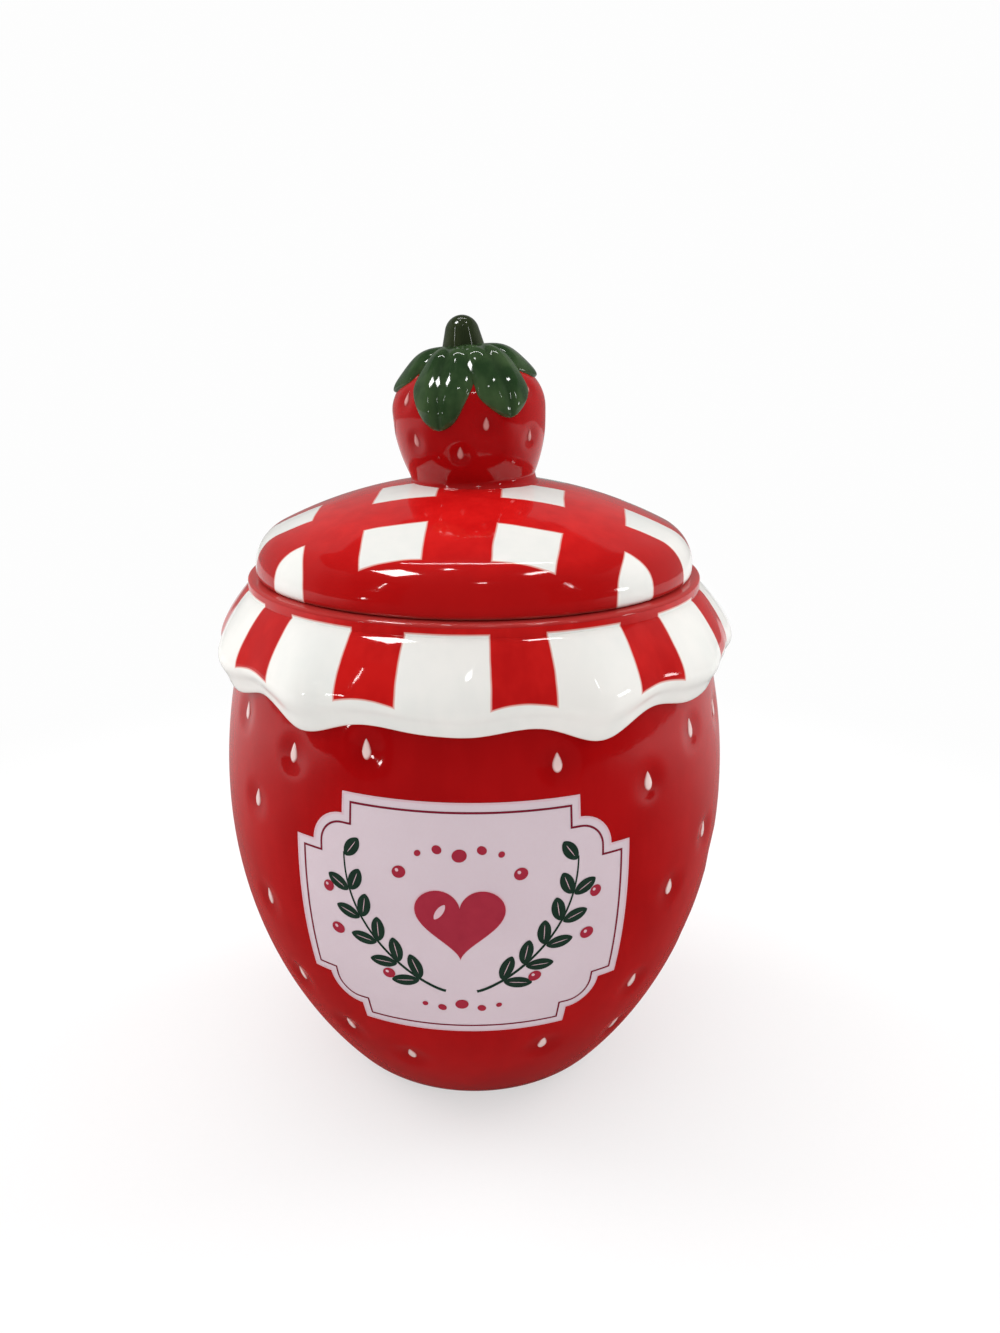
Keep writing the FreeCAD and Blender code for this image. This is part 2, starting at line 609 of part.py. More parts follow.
def leaf_section(reach, along, points=16):
    """A closed ring across a leaf: rounded above with a middle groove, sunk in the berry below."""
    radius, height, angle = berry_point(along * reach)
    tip = math.sqrt(max(0.0, 1 - max(0.0, (along - 0.75) / 0.25) ** 2))
    half_width = size("leaf_half_width") * math.sin(math.pi * (0.13 + 0.75 * along)) ** 0.8 * tip
    hump = math.exp(-((along * reach - HUMP_REACH) / HUMP_SPREAD) ** 2)
    thickness = (size("leaf_thickness") + size("leaf_hump") * hump) * math.sqrt(tip)
    outward = Vector(0, -math.cos(angle), math.sin(angle))
    ring = []
    for i in range(points):
        turn = 2 * math.pi * i / points
        across = half_width * math.cos(turn)
        if math.sin(turn) >= 0:
            groove = size("leaf_groove") * tip * math.exp(-(across / (0.22 * half_width)) ** 2)
            lift = thickness * math.sin(turn) ** 0.8 - groove
        else:
            lift = size("leaf_sink") * math.sin(turn)
        lift -= across ** 2 / (2 * berry_radius)
        ring.append(Vector(across, -radius, height) + outward * lift)
    curve = Part.BSplineCurve()
    curve.interpolate(Points=ring, PeriodicFlag=True, Parameters=[i / points for i in range(points + 1)])
    return Part.Wire(curve.toShape())


leaves = []
for i, (bearing, reach) in enumerate(LEAVES):
    leaf = doc.addObject("Part::Feature", f"Leaf{i}")
    leaf.Shape = Part.makeLoft([leaf_section(reach, along) for along in
                                (0.06, 0.2, 0.35, 0.5, 0.65, 0.78, 0.88, 0.95, 0.985)], True, False)
    leaf.Placement = knob_placement * Placement(Vector(), Rotation(Vector(0, 0, 1), bearing))
    leaves.append(leaf)

knob = doc.addObject("Part::MultiFuse", "Knob")
knob.Shapes = [pressed_berry, stem_body] + leaves
lid = doc.addObject("Part::Fuse", "lid")
lid.Base = lid_body
lid.Tool = knob
lid.Label = "lid"

# ---------------------------------------------------------------- check and write

doc.recompute()
failed = [o.Name for o in doc.Objects if "Invalid" in o.State or "Error" in o.State]
if failed:
    raise RuntimeError(f"objects that failed to build: {failed}")

os.makedirs("parts", exist_ok=True)
for part in (jar, lid):
    if part.Shape.isNull() or not part.Shape.isValid() or len(part.Shape.Solids) != 1:
        raise RuntimeError(f"{part.Label} is not one valid solid")
    print(part.Label, round(part.Shape.Volume), part.Shape.BoundBox)
    part.Shape.exportStep(f"parts/{part.Label}.step")
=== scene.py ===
import math

import bpy
import numpy as np
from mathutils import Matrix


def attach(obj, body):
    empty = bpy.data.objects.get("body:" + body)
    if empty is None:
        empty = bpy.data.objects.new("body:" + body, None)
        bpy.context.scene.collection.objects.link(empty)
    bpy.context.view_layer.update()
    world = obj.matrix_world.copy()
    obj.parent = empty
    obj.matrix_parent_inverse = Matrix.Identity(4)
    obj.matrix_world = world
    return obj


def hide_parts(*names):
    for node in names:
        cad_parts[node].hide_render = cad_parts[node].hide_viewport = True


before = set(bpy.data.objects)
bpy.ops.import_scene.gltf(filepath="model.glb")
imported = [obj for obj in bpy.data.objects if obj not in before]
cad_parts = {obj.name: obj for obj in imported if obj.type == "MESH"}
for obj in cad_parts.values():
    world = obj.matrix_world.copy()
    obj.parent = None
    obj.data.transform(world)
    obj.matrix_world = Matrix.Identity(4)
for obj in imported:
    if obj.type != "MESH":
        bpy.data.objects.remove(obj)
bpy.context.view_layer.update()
scene = bpy.context.scene


# ------------------------------------------------------------------ jar body
# The jar is one slip-cast earthenware pot: a round belly on a bare foot ring, a thick wall
# and a flat rim. It is dipped in a deep red glaze outside and a white one inside, and a
# fingertip-sized hollow is pressed into the side for each of the seeds.
MM = 0.001
BELLY_RADIUS, BELLY_HEIGHT = 62.5, 74.4
LOWER_SIDE, UPPER_SIDE = 115.21, 133.39      # radii of the two arcs of the side
FOOT_RADIUS, HEEL_RADIUS = 29.5, 12.0
RECESS_RADIUS, RECESS_DEPTH, RECESS_ROUND = 25.0, 1.2, 0.4
NECK_HEIGHT, RIM_HEIGHT, RIM_RADIUS, RIM_WIDTH, RIM_ROUND = 119.9, 128.4, 54.5, 6.0, 0.8
WALL, FLOOR, FLOOR_ROUND = 4.5, 6.0, 12.0
SPOT_WIDTH, SPOT_DEPTH = 11.0, 0.7
JAR_COLUMNS = 360


def arc(centre_r, centre_z, radius, start, end, steps):
    """Points on a section: centre plus radius times the cosine and sine of an even run of angles."""
    angle = np.radians(np.linspace(start, end, steps))
    return np.stack([centre_r + radius * np.cos(angle), centre_z + radius * np.sin(angle)], axis=1)


def straight(r1, z1, r2, z2, steps):
    """Points on a section, evenly spaced from one end of a line to the other."""
    share = np.linspace(0, 1, steps)[:, None]
    return (1 - share) * np.array([[r1, z1]]) + share * np.array([[r2, z2]])


def once_round(count, start=0.0):
    """Even angles once round, in radians, without the last one that would meet the first."""
    return np.linspace(start, start + 2 * math.pi, count, endpoint=False)


def section(*runs):
    """One profile from runs of points, leaving out each run's first point after the first run."""
    return np.concatenate([runs[0]] + [run[1:] for run in runs[1:]])


def around(radius, bearing, height):
    """Points round Z. A bearing is in radians from the front, -Y, towards +X, so a point is
    (radius times sine, minus radius times cosine, height)."""
    radius, bearing, height = np.broadcast_arrays(radius, bearing, height)
    return np.stack([radius * np.sin(bearing), -radius * np.cos(bearing), height], axis=-1)


def turned(profile, columns):
    """A profile carried once round Z, in even steps of bearing."""
    return around(profile[:, 0:1], once_round(columns, -math.pi), profile[:, 1:2])


def grid_normals(points):
    """Unit normals of a grid whose columns close: the cross product of the two grid directions."""
    across = np.roll(points, -1, axis=1) - np.roll(points, 1, axis=1)
    normal = np.cross(across, np.gradient(points, axis=0))
    return normal / np.maximum(np.linalg.norm(normal, axis=2, keepdims=True), 1e-12)


def make_piece(name, grids, materials, masks=None, sharp=50):
    """A mesh from grids of points in millimetres, each given as (points, material, closed_columns,
    closed_rows). A row drawn together to one point becomes a pole, where its squares are triangles."""
    coordinates, loops, totals, slots, offset = [], [], [], [], 0
    for points, slot, closed_columns, closed_rows in grids:
        rows, columns = points.shape[:2]
        index = np.arange(rows * columns).reshape(rows, columns)
        pole = np.ptp(points, axis=1).max(axis=1) < 1e-6
        index[pole] = index[pole][:, :1]
        ring = index if closed_columns else index[:, :-1]
        beside = np.roll(index, -1, axis=1) if closed_columns else index[:, 1:]
        below, below_next = (ring, beside) if closed_rows else (ring[:-1], beside[:-1])
        above = np.roll(ring, -1, axis=0)[:len(below)]
        above_next = np.roll(beside, -1, axis=0)[:len(below)]
        corner = np.stack([below, below_next, above_next, above], axis=2)
        face_slot = np.broadcast_to(np.asarray(slot).reshape(-1, 1), corner.shape[:2]).ravel()
        corner = corner.reshape(-1, 4)
        keep = np.ones(corner.shape, bool)
        keep[:, 1] = corner[:, 1] != corner[:, 0]
        keep[:, 3] = corner[:, 3] != corner[:, 2]
        coordinates.append(points.reshape(-1, 3))
        loops.append(corner[keep] + offset)
        totals.append(keep.sum(axis=1))
        slots.append(face_slot)
        offset += rows * columns
    used, loops = np.unique(np.concatenate(loops), return_inverse=True)
    totals = np.concatenate(totals)
    mesh = bpy.data.meshes.new(name)
    mesh.vertices.add(len(used))
    mesh.vertices.foreach_set("co", (np.concatenate(coordinates)[used] * MM).ravel())
    mesh.loops.add(len(loops))
    mesh.loops.foreach_set("vertex_index", loops.astype(np.int32).ravel())
    mesh.polygons.add(len(totals))
    mesh.polygons.foreach_set("loop_start", (np.cumsum(totals) - totals).astype(np.int32))
    for material in materials:
        mesh.materials.append(material)
    mesh.polygons.foreach_set("material_index", np.concatenate(slots).astype(np.int32))
    mesh.update(calc_edges=True)
    for mask_name, values in (masks or {}).items():
        attribute = mesh.attributes.new(mask_name, "FLOAT", "POINT")
        attribute.data.foreach_set("value", values.reshape(-1)[used].astype(np.float32))
    mesh.shade_smooth()
    mesh.set_sharp_from_angle(angle=math.radians(sharp))
    piece = bpy.data.objects.new(name, mesh)
    scene.collection.objects.link(piece)
    return piece


def side_radius(height):
    """Radius of the outside: two arcs that meet at the belly, and a straight neck above them."""
    height = np.asarray(height, float)
    lower = BELLY_RADIUS - LOWER_SIDE + np.sqrt(LOWER_SIDE ** 2 - (height - BELLY_HEIGHT) ** 2)
    upper = BELLY_RADIUS - UPPER_SIDE + np.sqrt(UPPER_SIDE ** 2 - (height - BELLY_HEIGHT) ** 2)
    return np.maximum(np.where(height < BELLY_HEIGHT, lower, upper), RIM_RADIUS * (height > 100))


def side_point(bearing, height, lift=0.0):
    """A point on the side at a bearing in degrees and a height, lifted along the outward normal."""
    bearing, height = np.broadcast_arrays(np.radians(bearing), np.asarray(height, float))
    slope = (side_radius(height + 0.01) - side_radius(height - 0.01)) / 0.02
    length = np.sqrt(1 + slope ** 2)
    return around(side_radius(height) + lift / length, bearing, height - lift * slope / length)


# Seeds on the side: (bearing, height as a share of the rim's). The label takes the middle of
# the front; round the back the rows are staggered and each seed is nudged up or down.
FRONT_SEEDS = [
    (-60, 0.790), (-40, 0.762), (-22, 0.796), (16, 0.779), (37, 0.716), (53, 0.771),
    (-52, 0.653), (-51, 0.460), (-47, 0.298), (-35, 0.211), (-18, 0.170), (71, 0.761),
    (59, 0.560), (45, 0.494), (40, 0.300), (43, 0.164), (17, 0.204),
]
BACK_ROWS = [(0.765, 92, 21.5, 9), (0.615, 80, 24.0, 9), (0.465, 72, 26.0, 9),
             (0.315, 68, 30.0, 8), (0.185, 84, 39.0, 6)]
JAR_SEEDS = np.array(FRONT_SEEDS + [
    (first + step * i, share + 0.019 * math.sin(2.1 * i + 60 * share))
    for share, first, step, count in BACK_ROWS for i in range(count)]) * (1, RIM_HEIGHT)


def pressed(points, normals, centres, width, depth):
    """Points moved inwards by soft round hollows: depth times (1 - (distance / radius)^2)^2, with
    a radius of 0.54 of the width."""
    distance = np.linalg.norm(points[:, :, None, :] - centres, axis=3).min(axis=2)
    hollow = np.clip(1 - (distance / (0.54 * width)) ** 2, 0, 1) ** 2
    return points - normals * (depth * hollow)[:, :, None], hollow


def edge_mask(profile, columns, height, least_radius):
    """1 at a height on the section and near 0 from 1 mm away, only outside a least radius."""
    mask = np.exp(-((profile[:, 1] - height) / 0.5) ** 2) * (profile[:, 0] > least_radius)
    return np.broadcast_to(mask[:, None], (len(profile), columns))


lower_middle, upper_middle = BELLY_RADIUS - LOWER_SIDE, BELLY_RADIUS - UPPER_SIDE
lower_inside, upper_inside = LOWER_SIDE - WALL, UPPER_SIDE - WALL
mouth_radius, rim_shoulder = RIM_RADIUS - RIM_WIDTH, RIM_HEIGHT - RIM_ROUND
heel_turn = math.degrees(math.atan2(BELLY_HEIGHT - HEEL_RADIUS, FOOT_RADIUS - lower_middle))
neck_turn = math.degrees(math.asin((NECK_HEIGHT - BELLY_HEIGHT) / UPPER_SIDE))
floor_turn = math.degrees(math.asin((BELLY_HEIGHT - FLOOR - FLOOR_ROUND)
                                    / (lower_inside - FLOOR_ROUND)))
mouth_turn = math.degrees(math.acos((mouth_radius - upper_middle) / upper_inside))
floor_corner = lower_middle + (lower_inside - FLOOR_ROUND) * math.cos(math.radians(floor_turn))
mouth_height = BELLY_HEIGHT + upper_inside * math.sin(math.radians(mouth_turn))
under = section(
    straight(0, RECESS_DEPTH, RECESS_RADIUS - RECESS_ROUND, RECESS_DEPTH, 12),
    arc(RECESS_RADIUS - RECESS_ROUND, RECESS_DEPTH - RECESS_ROUND, RECESS_ROUND, 90, 0, 4),
    straight(RECESS_RADIUS, RECESS_DEPTH - RECESS_ROUND, RECESS_RADIUS, RECESS_ROUND, 2),
    arc(RECESS_RADIUS + RECESS_ROUND, RECESS_ROUND, RECESS_ROUND, 180, 270, 4),
    straight(RECESS_RADIUS + RECESS_ROUND, 0, FOOT_RADIUS, 0, 4))
outside = section(
    arc(FOOT_RADIUS, HEEL_RADIUS, HEEL_RADIUS, -90, -heel_turn, 12),
    arc(lower_middle, BELLY_HEIGHT, LOWER_SIDE, -heel_turn, 0, 66),
    arc(upper_middle, BELLY_HEIGHT, UPPER_SIDE, 0, neck_turn, 46),
    straight(RIM_RADIUS, NECK_HEIGHT, RIM_RADIUS, rim_shoulder, 6),
    arc(RIM_RADIUS - RIM_ROUND, rim_shoulder, RIM_ROUND, 0, 90, 6))
land = section(
    straight(RIM_RADIUS - RIM_ROUND, RIM_HEIGHT, mouth_radius + RIM_ROUND, RIM_HEIGHT, 5),
    arc(mouth_radius + RIM_ROUND, rim_shoulder, RIM_ROUND, 90, 180, 6))
inside = section(
    straight(mouth_radius, rim_shoulder, mouth_radius, mouth_height, 4),
    arc(upper_middle, BELLY_HEIGHT, upper_inside, mouth_turn, 0, 26),
    arc(lower_middle, BELLY_HEIGHT, lower_inside, 0, -floor_turn, 26),
    arc(floor_corner, FLOOR + FLOOR_ROUND, FLOOR_ROUND, -floor_turn, -90, 9),
    straight(floor_corner, FLOOR, 0, FLOOR, 8))
profile = section(under, outside, land, inside)
ends = np.cumsum([len(under), len(outside) - 1, len(land) - 1, len(inside) - 1])
jar_points = turned(profile, JAR_COLUMNS)
seed_centres = side_point(JAR_SEEDS[:, 0], JAR_SEEDS[:, 1])
on_side = slice(ends[0], ends[1] - 10)      # the outside below the rim
hollows = np.zeros(jar_points.shape[:2])
jar_points[on_side], hollows[on_side] = pressed(
    jar_points[on_side], grid_normals(jar_points)[on_side], seed_centres, SPOT_WIDTH, SPOT_DEPTH)
rim_thin = edge_mask(profile, JAR_COLUMNS, RIM_HEIGHT - 0.2, RIM_RADIUS - 2.5)


def link_or_set(tree, socket, value):
    """Feeds a socket from another node's output, or gives it a plain value; a colour's alpha is 1."""
    if isinstance(value, bpy.types.NodeSocket):
        tree.links.new(value, socket)
    else:
        socket.default_value = (*value, 1) if socket.type == "RGBA" else value


def feed(tree, node, inputs):
    """Feeds or sets several of a node's inputs, by name or by number."""
    for key, value in dict(inputs).items():
        link_or_set(tree, node.inputs[key], value)


def add_node(tree, kind, inputs=(), **settings):
    """The outputs of a new node, with its settings made and its inputs fed or set."""
    node = tree.nodes.new("ShaderNode" + kind)
    for name, value in settings.items():
        setattr(node, name, value)
    feed(tree, node, inputs)
    return node.outputs


def maths(tree, operation, *values):
    """The result of a Math node on outputs or plain numbers."""
    return add_node(tree, "Math", enumerate(values), operation=operation)[0]


def blend_colours(tree, share, first, second):
    """The first colour where the share is 0 and the second where it is 1."""
    return add_node(tree, "Mix", {0: share, 6: first, 7: second}, data_type="RGBA")[2]


def tinted(tree, colour, mask, amount, tint):
    """A colour drawn towards a tint by a mask times an amount."""
    return blend_colours(tree, maths(tree, "MULTIPLY", mask, amount), colour, tint)


def ramp_between(tree, value, low, high):
    """0 below low, 1 above high, and a smooth step between them."""
    return add_node(tree, "MapRange", {"Value": value, "From Min": low, "From Max": high},
                    interpolation_type="SMOOTHSTEP")["Result"]


def own_place(tree):
    """The object's own coordinates."""
    return add_node(tree, "TexCoord")["Object"]


def millimetres(tree, turn=0.0):
    """The object's own x, y and z in millimetres, turned about Z by an angle in degrees."""
    place = add_node(tree, "Mapping", {"Vector": own_place(tree), "Scale": (1 / MM, 1 / MM, 1 / MM),
                                       "Rotation": (0, 0, math.radians(turn))})[0]
    return add_node(tree, "SeparateXYZ", {0: place})


def noise(tree, scale, detail=2.0, roughness=0.5, stretch=(1, 1, 1)):
    """Smooth noise on the object's own coordinates, stretched along its axes."""
    place = add_node(tree, "Mapping", {"Vector": own_place(tree), "Scale": stretch})[0]
    return add_node(tree, "TexNoise", {"Vector": place, "Scale": scale, "Detail": detail,
                                       "Roughness": roughness})["Fac"]


def wander(tree, scale, reach):
    """Noise about 0, up to half the reach either way."""
    return maths(tree, "MULTIPLY", maths(tree, "SUBTRACT", noise(tree, scale), 0.5), reach)


def new_group(name, inputs, outputs, kind="NodeSocketFloat"):
    """An empty shader group: its tree, what comes in, and its output node. An input that starts
    as a tuple is a colour, and any other is a number."""
    tree = bpy.data.node_groups.new(name, "ShaderNodeTree")
    for key, value in inputs.items():
        colour = isinstance(value, tuple)
        socket = tree.interface.new_socket(
            key, in_out="INPUT", socket_type="NodeSocketColor" if colour else "NodeSocketFloat")
        socket.default_value = (*value, 1) if colour else value
    for key in outputs:
        tree.interface.new_socket(key, in_out="OUTPUT", socket_type=kind)
    return tree, tree.nodes.new("NodeGroupInput").outputs, tree.nodes.new("NodeGroupOutput")


# Glaze depth: broad pools and fine streaks where the glaze lies thicker or thinner.
tree, given, result = new_group(
    "glaze_depth", {"Pool Size": 45.0, "Streaks": 0.3, "Thin Edge": 0.0}, ["Depth"])
pools = noise(tree, given["Pool Size"], 3.0, 0.55)
streaks = maths(tree, "SUBTRACT", noise(tree, 260.0, 2.0, 0.6, (1.0, 1.0, 0.22)), 0.5)
steep = ramp_between(tree, maths(tree, "MULTIPLY_ADD", streaks, given["Streaks"], pools), 0.28, 0.72)
feed(tree, result, {"Depth": maths(tree, "SUBTRACT", steep, given["Thin Edge"])})
depth_group = tree

# Glaze skin: the slow ripple of a melted surface, with a faint orange peel and pinholes.
tree, given, result = new_group(
    "glaze_skin", {"Ripple": 1.0, "Ripple Size": 75.0, "Peel": 0.1}, ["Height", "Dulling"])
cells = add_node(tree, "TexVoronoi", {"Vector": own_place(tree), "Scale": 150.0})
pits = maths(tree, "MULTIPLY", ramp_between(tree, cells["Distance"], 0.07, 0.02),
             ramp_between(tree, noise(tree, 55.0), 0.62, 0.70))
height = maths(tree, "MULTIPLY", noise(tree, given["Ripple Size"], 1.0, 0.4), given["Ripple"])
height = maths(tree, "MULTIPLY_ADD", noise(tree, 420.0), given["Peel"], height)
feed(tree, result, {"Height": maths(tree, "MULTIPLY_ADD", pits, -0.12, height),
                    "Dulling": ramp_between(tree, noise(tree, 30.0, 3.0), 0.35, 0.75)})
skin_group = tree


def use_group(tree, group, **values):
    """A group's node in a material, with its own values. Underscores stand for spaces."""
    values = {name.replace("_", " "): value for name, value in values.items()}
    return add_node(tree, "Group", values, node_tree=group)


def attribute(tree, name):
    """The value of one of the piece's own masks."""
    return add_node(tree, "Attribute", attribute_name=name)["Fac"]


def new_material(name):
    """A node material, its tree and its shader."""
    material = bpy.data.materials.new(name)
    material.use_nodes = True
    return material, material.node_tree, material.node_tree.nodes["Principled BSDF"]


def glazed(name, colour_of, ripple=1.0, size=75.0, peel=0.08, smooth=0.05, dull=0.05):
    """A glossy glaze: its colour from colour_of(tree), and the glaze skin for gloss and bump."""
    material, tree, shader = new_material(name)
    skin = use_group(tree, skin_group, Ripple=ripple, Ripple_Size=size, Peel=peel)
    bump = {"Strength": 0.35, "Distance": 0.0006, "Height": skin["Height"]}
    feed(tree, shader, {
        "Base Color": colour_of(tree), "IOR": 1.5, "Specular IOR Level": 0.42,
        "Roughness": maths(tree, "MULTIPLY_ADD", skin["Dulling"], dull, smooth),
        "Normal": add_node(tree, "Bump", bump)["Normal"]})
    return material


def pooled(tree, thin, thick, size, streaks, edge=0.0):
    """The two tones of a glaze: the first where it lies thin and the second where it pools."""
    depth = use_group(tree, depth_group, Pool_Size=size, Streaks=streaks, Thin_Edge=edge)["Depth"]
    return blend_colours(tree, depth, thin, thick)


def deep_red(tree):
    """Body red: thick glaze is a dark cherry, thin glaze on edges a paler brick pink."""
    thin = attribute(tree, "thin")
    red = pooled(tree, (0.385, 0.0038, 0.0046), (0.325, 0.0024, 0.0032), 38.0, 0.35, thin)
    red = tinted(tree, red, thin, 0.32, (0.52, 0.10, 0.09))
    return tinted(tree, red, attribute(tree, "hollow"), 0.30, (0.180, 0.0020, 0.0026))


def plain_white(tree):
    """White liner glaze, a little greyer and greener where it lies thick."""
    return pooled(tree, (0.80, 0.79, 0.755), (0.72, 0.715, 0.685), 30.0, 0.2)


def bare_clay(tree):
    """The wiped foot: pale buff clay with fine dark grains."""
    grains = ramp_between(tree, noise(tree, 900.0, 3.0, 0.7), 0.60, 0.72)
    tone = blend_colours(tree, noise(tree, 90.0), (0.60, 0.52, 0.43), (0.69, 0.62, 0.53))
    return tinted(tree, tone, grains, 0.35, (0.30, 0.23, 0.17))


red_glaze = glazed("jar_red_glaze", deep_red)
# The clear layer over the red scatters light where it is seen at a slant, as a red bloom.
feed(red_glaze.node_tree, red_glaze.node_tree.nodes["Principled BSDF"],
     {"Sheen Weight": 0.35, "Sheen Roughness": 0.35, "Sheen Tint": (1.0, 0.07, 0.06)})
white_glaze = glazed("white_liner_glaze", plain_white, ripple=0.8)
clay = glazed("bare_clay", bare_clay, ripple=0.1, peel=0.5, smooth=0.72, dull=0.12)
# Liner glaze in the recess and inside, clay on the foot, red on the side, and the skirt's glaze,
# which the next section adds, on the two rows of faces where the side comes out of the skirt.
RED, LINER, CLAY, STRIPED = 0, 1, 2, 3
face_row = np.arange(len(profile) - 1)
jar_slots = np.select([face_row < ends[0] - 4, face_row < ends[0] - 1,
                       (face_row >= ends[1] - 8) & (face_row <= ends[1] - 7),
                       face_row < ends[2] - 2], [LINER, CLAY, STRIPED, RED], LINER)
jar_body = make_piece("jar_body", [(jar_points, jar_slots, True, False)],
                      [red_glaze, white_glaze, clay], {"thin": rim_thin, "hollow": hollows})
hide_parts("jar")
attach(jar_body, "root")


# ------------------------------------------------------------------ moulded cloth skirt
# Cast in one with the pot: a cover of checked cloth, as tied over a jam jar, flares out below
# the rim to a soft fold and turns in to a wavy hem. White glaze, with painted red stripes.
SKIRT_TOP, RIDGE, HEM = RIM_HEIGHT - 1.5, RIM_HEIGHT - 15.5, RIM_HEIGHT - 21.1
RIDGE_OUT, HEM_OUT = 5.6, 2.0
FOLDS, FOLD_BEARING = 12, 24.8
SKIRT_ROOT = 44.0                     # the section starts and ends inside the pot's wall
ROOT_TOP, ROOT_HEM = 51.0, 55.6       # radii from which it is built, above and below
STRIPE_BEARING, STRIPE_STEP, STRIPE_HALF = 9.0, 15.0, 6.1      # degrees
STRIPE_END, BAND_END = RIDGE + 1.3, SKIRT_TOP - 0.55


def skirt_rows():
    """The section's control points: radius, height, and shares of the folds' wave and droop."""
    top_radius = RIM_RADIUS - 0.4
    ridge_radius = float(side_radius(RIDGE)) + RIDGE_OUT
    hem_radius = float(side_radius(HEM)) + HEM_OUT
    flare, fall = ridge_radius - top_radius, SKIRT_TOP - RIDGE
    return np.array([
        (SKIRT_ROOT, SKIRT_TOP, 0, 0),
        (top_radius - 0.1 * flare, SKIRT_TOP, 0, 0),
        (top_radius + 0.16 * flare, SKIRT_TOP - 0.12 * fall, 0.1, 0),
        (top_radius + 0.66 * flare, SKIRT_TOP - 0.49 * fall, 0.55, 0),
        (ridge_radius - 0.01 * flare, RIDGE + 0.19 * fall, 1.0, 0.2),
        (ridge_radius + 0.07 * flare, RIDGE - 0.06 * fall, 1.1, 0.4),
        (0.45 * ridge_radius + 0.55 * hem_radius, 0.5 * RIDGE + 0.5 * HEM, 1.0, 0.8),
        (hem_radius + 0.5, HEM + 0.6, 0.8, 1.1),
        (hem_radius - 0.4, HEM - 0.9, 0.6, 1.15),
        (hem_radius - 0.9 * HEM_OUT, HEM + 0.2, 0.2, 1.0),
        (SKIRT_ROOT, HEM + 1.0, 0, 0),
        (SKIRT_ROOT - 1.0, HEM + 1.0, 0, 0),
    ])


def cubic_weights(share, count):
    """Weights of a cubic B-spline's control points, clamped at both ends, by the usual recursion:
    each degree's weights are sloping shares of the two neighbouring ones below it."""
    knots = np.concatenate([[0] * 3, np.linspace(0, 1, count - 2), [1] * 3])
    share = np.clip(share, 0, 1 - 1e-9)[:, None]
    weights = ((knots[:-1] <= share) & (share < knots[1:])).astype(float)
    for degree in (1, 2, 3):
        rise = knots[degree:-1] - knots[:-degree - 1]
        fall = knots[degree + 1:] - knots[1:-degree]
        up = (share - knots[:-degree - 1]) / np.where(rise > 0, rise, 1) * (rise > 0)
        down = (knots[degree + 1:] - share) / np.where(fall > 0, fall, 1) * (fall > 0)
        weights = up * weights[:, :-1] + down * weights[:, 1:]
    return weights


def folds(bearing):
    """Wave, in and out, and droop, down, of the cloth: twelve folds, a slow sway of the hem, and
    small uneven creases that only turn the cloth inwards."""
    turn = bearing - math.radians(FOLD_BEARING)
    fold = np.cos(FOLDS * turn)
    sway = np.cos(5 * (turn - math.radians(4)))
    wave = 0.8 * (fold + 0.12 * np.cos(2 * FOLDS * turn))
    crease = 0.16 * (np.sin(17 * bearing + 1.0) - 1) + 0.12 * (np.sin(31 * bearing + 2.0) - 1)
    return wave + crease, 1.15 * fold + 0.8 * sway * (fold + 0.67)


rows = skirt_rows()
trial = np.linspace(0, 1, 2001)
trial_radius = cubic_weights(trial, len(rows)) @ rows[:, 0]
first = trial[np.argmax(trial_radius > ROOT_TOP)]
last = trial[len(trial) - 1 - np.argmax(trial_radius[::-1] > ROOT_HEM)]
weights = cubic_weights(np.linspace(first, last, 76), len(rows))
bearing = once_round(FOLDS * 44, -math.pi)
wave, droop = folds(bearing)
radius, height, wave_share, droop_share = ((weights @ rows)[:, [i]] for i in range(4))
radius, height = radius + wave_share * wave, height - droop_share * droop
skirt_points = around(radius, bearing, height)
# A soft line of thin glaze on the outside of the hem, two rows before its lowest one.
hem_row = np.argmin(height, axis=0)
hem_line = np.exp(-((np.arange(len(radius))[:, None] - hem_row + 2.2) / 2.2) ** 2)

# Painted edge: red paint meets white with a hair of pink between, where the red thins out.
tree, given, result = new_group(
    "painted_edge", {"Inside mm": 0.0, "Paint": (0.5, 0.01, 0.01), "Ground": (0.8, 0.8, 0.75),
                     "Halo": (0.72, 0.36, 0.32)}, ["Colour"], "NodeSocketColor")
halo = ramp_between(tree, given["Inside mm"], -0.34, -0.08)
body = ramp_between(tree, given["Inside mm"], -0.02, 0.20)
edged = blend_colours(tree, halo, given["Ground"], given["Halo"])
feed(tree, result, {"Colour": blend_colours(tree, body, edged, given["Paint"])})
paint_group = tree


def bright_red(tree, light=0.545, dark=0.450):
    """Brushed red of the stripes and checks: two tones laid in soft strokes."""
    return pooled(tree, (light, 0.0105, 0.0095), (dark, 0.0060, 0.0062), 60.0, 0.6)


def cloth_white(tree):
    """The cloth's white glaze, faintly green where it pools and warmer where it is thin."""
    return pooled(tree, (0.850, 0.832, 0.795), (0.775, 0.780, 0.748), 42.0, 0.25)


def painted(tree, inside, paint):
    """Red paint where a distance in millimetres is above 0, on the cloth's white."""
    return use_group(tree, paint_group, Inside_mm=inside, Paint=paint,
                     Ground=cloth_white(tree))["Colour"]


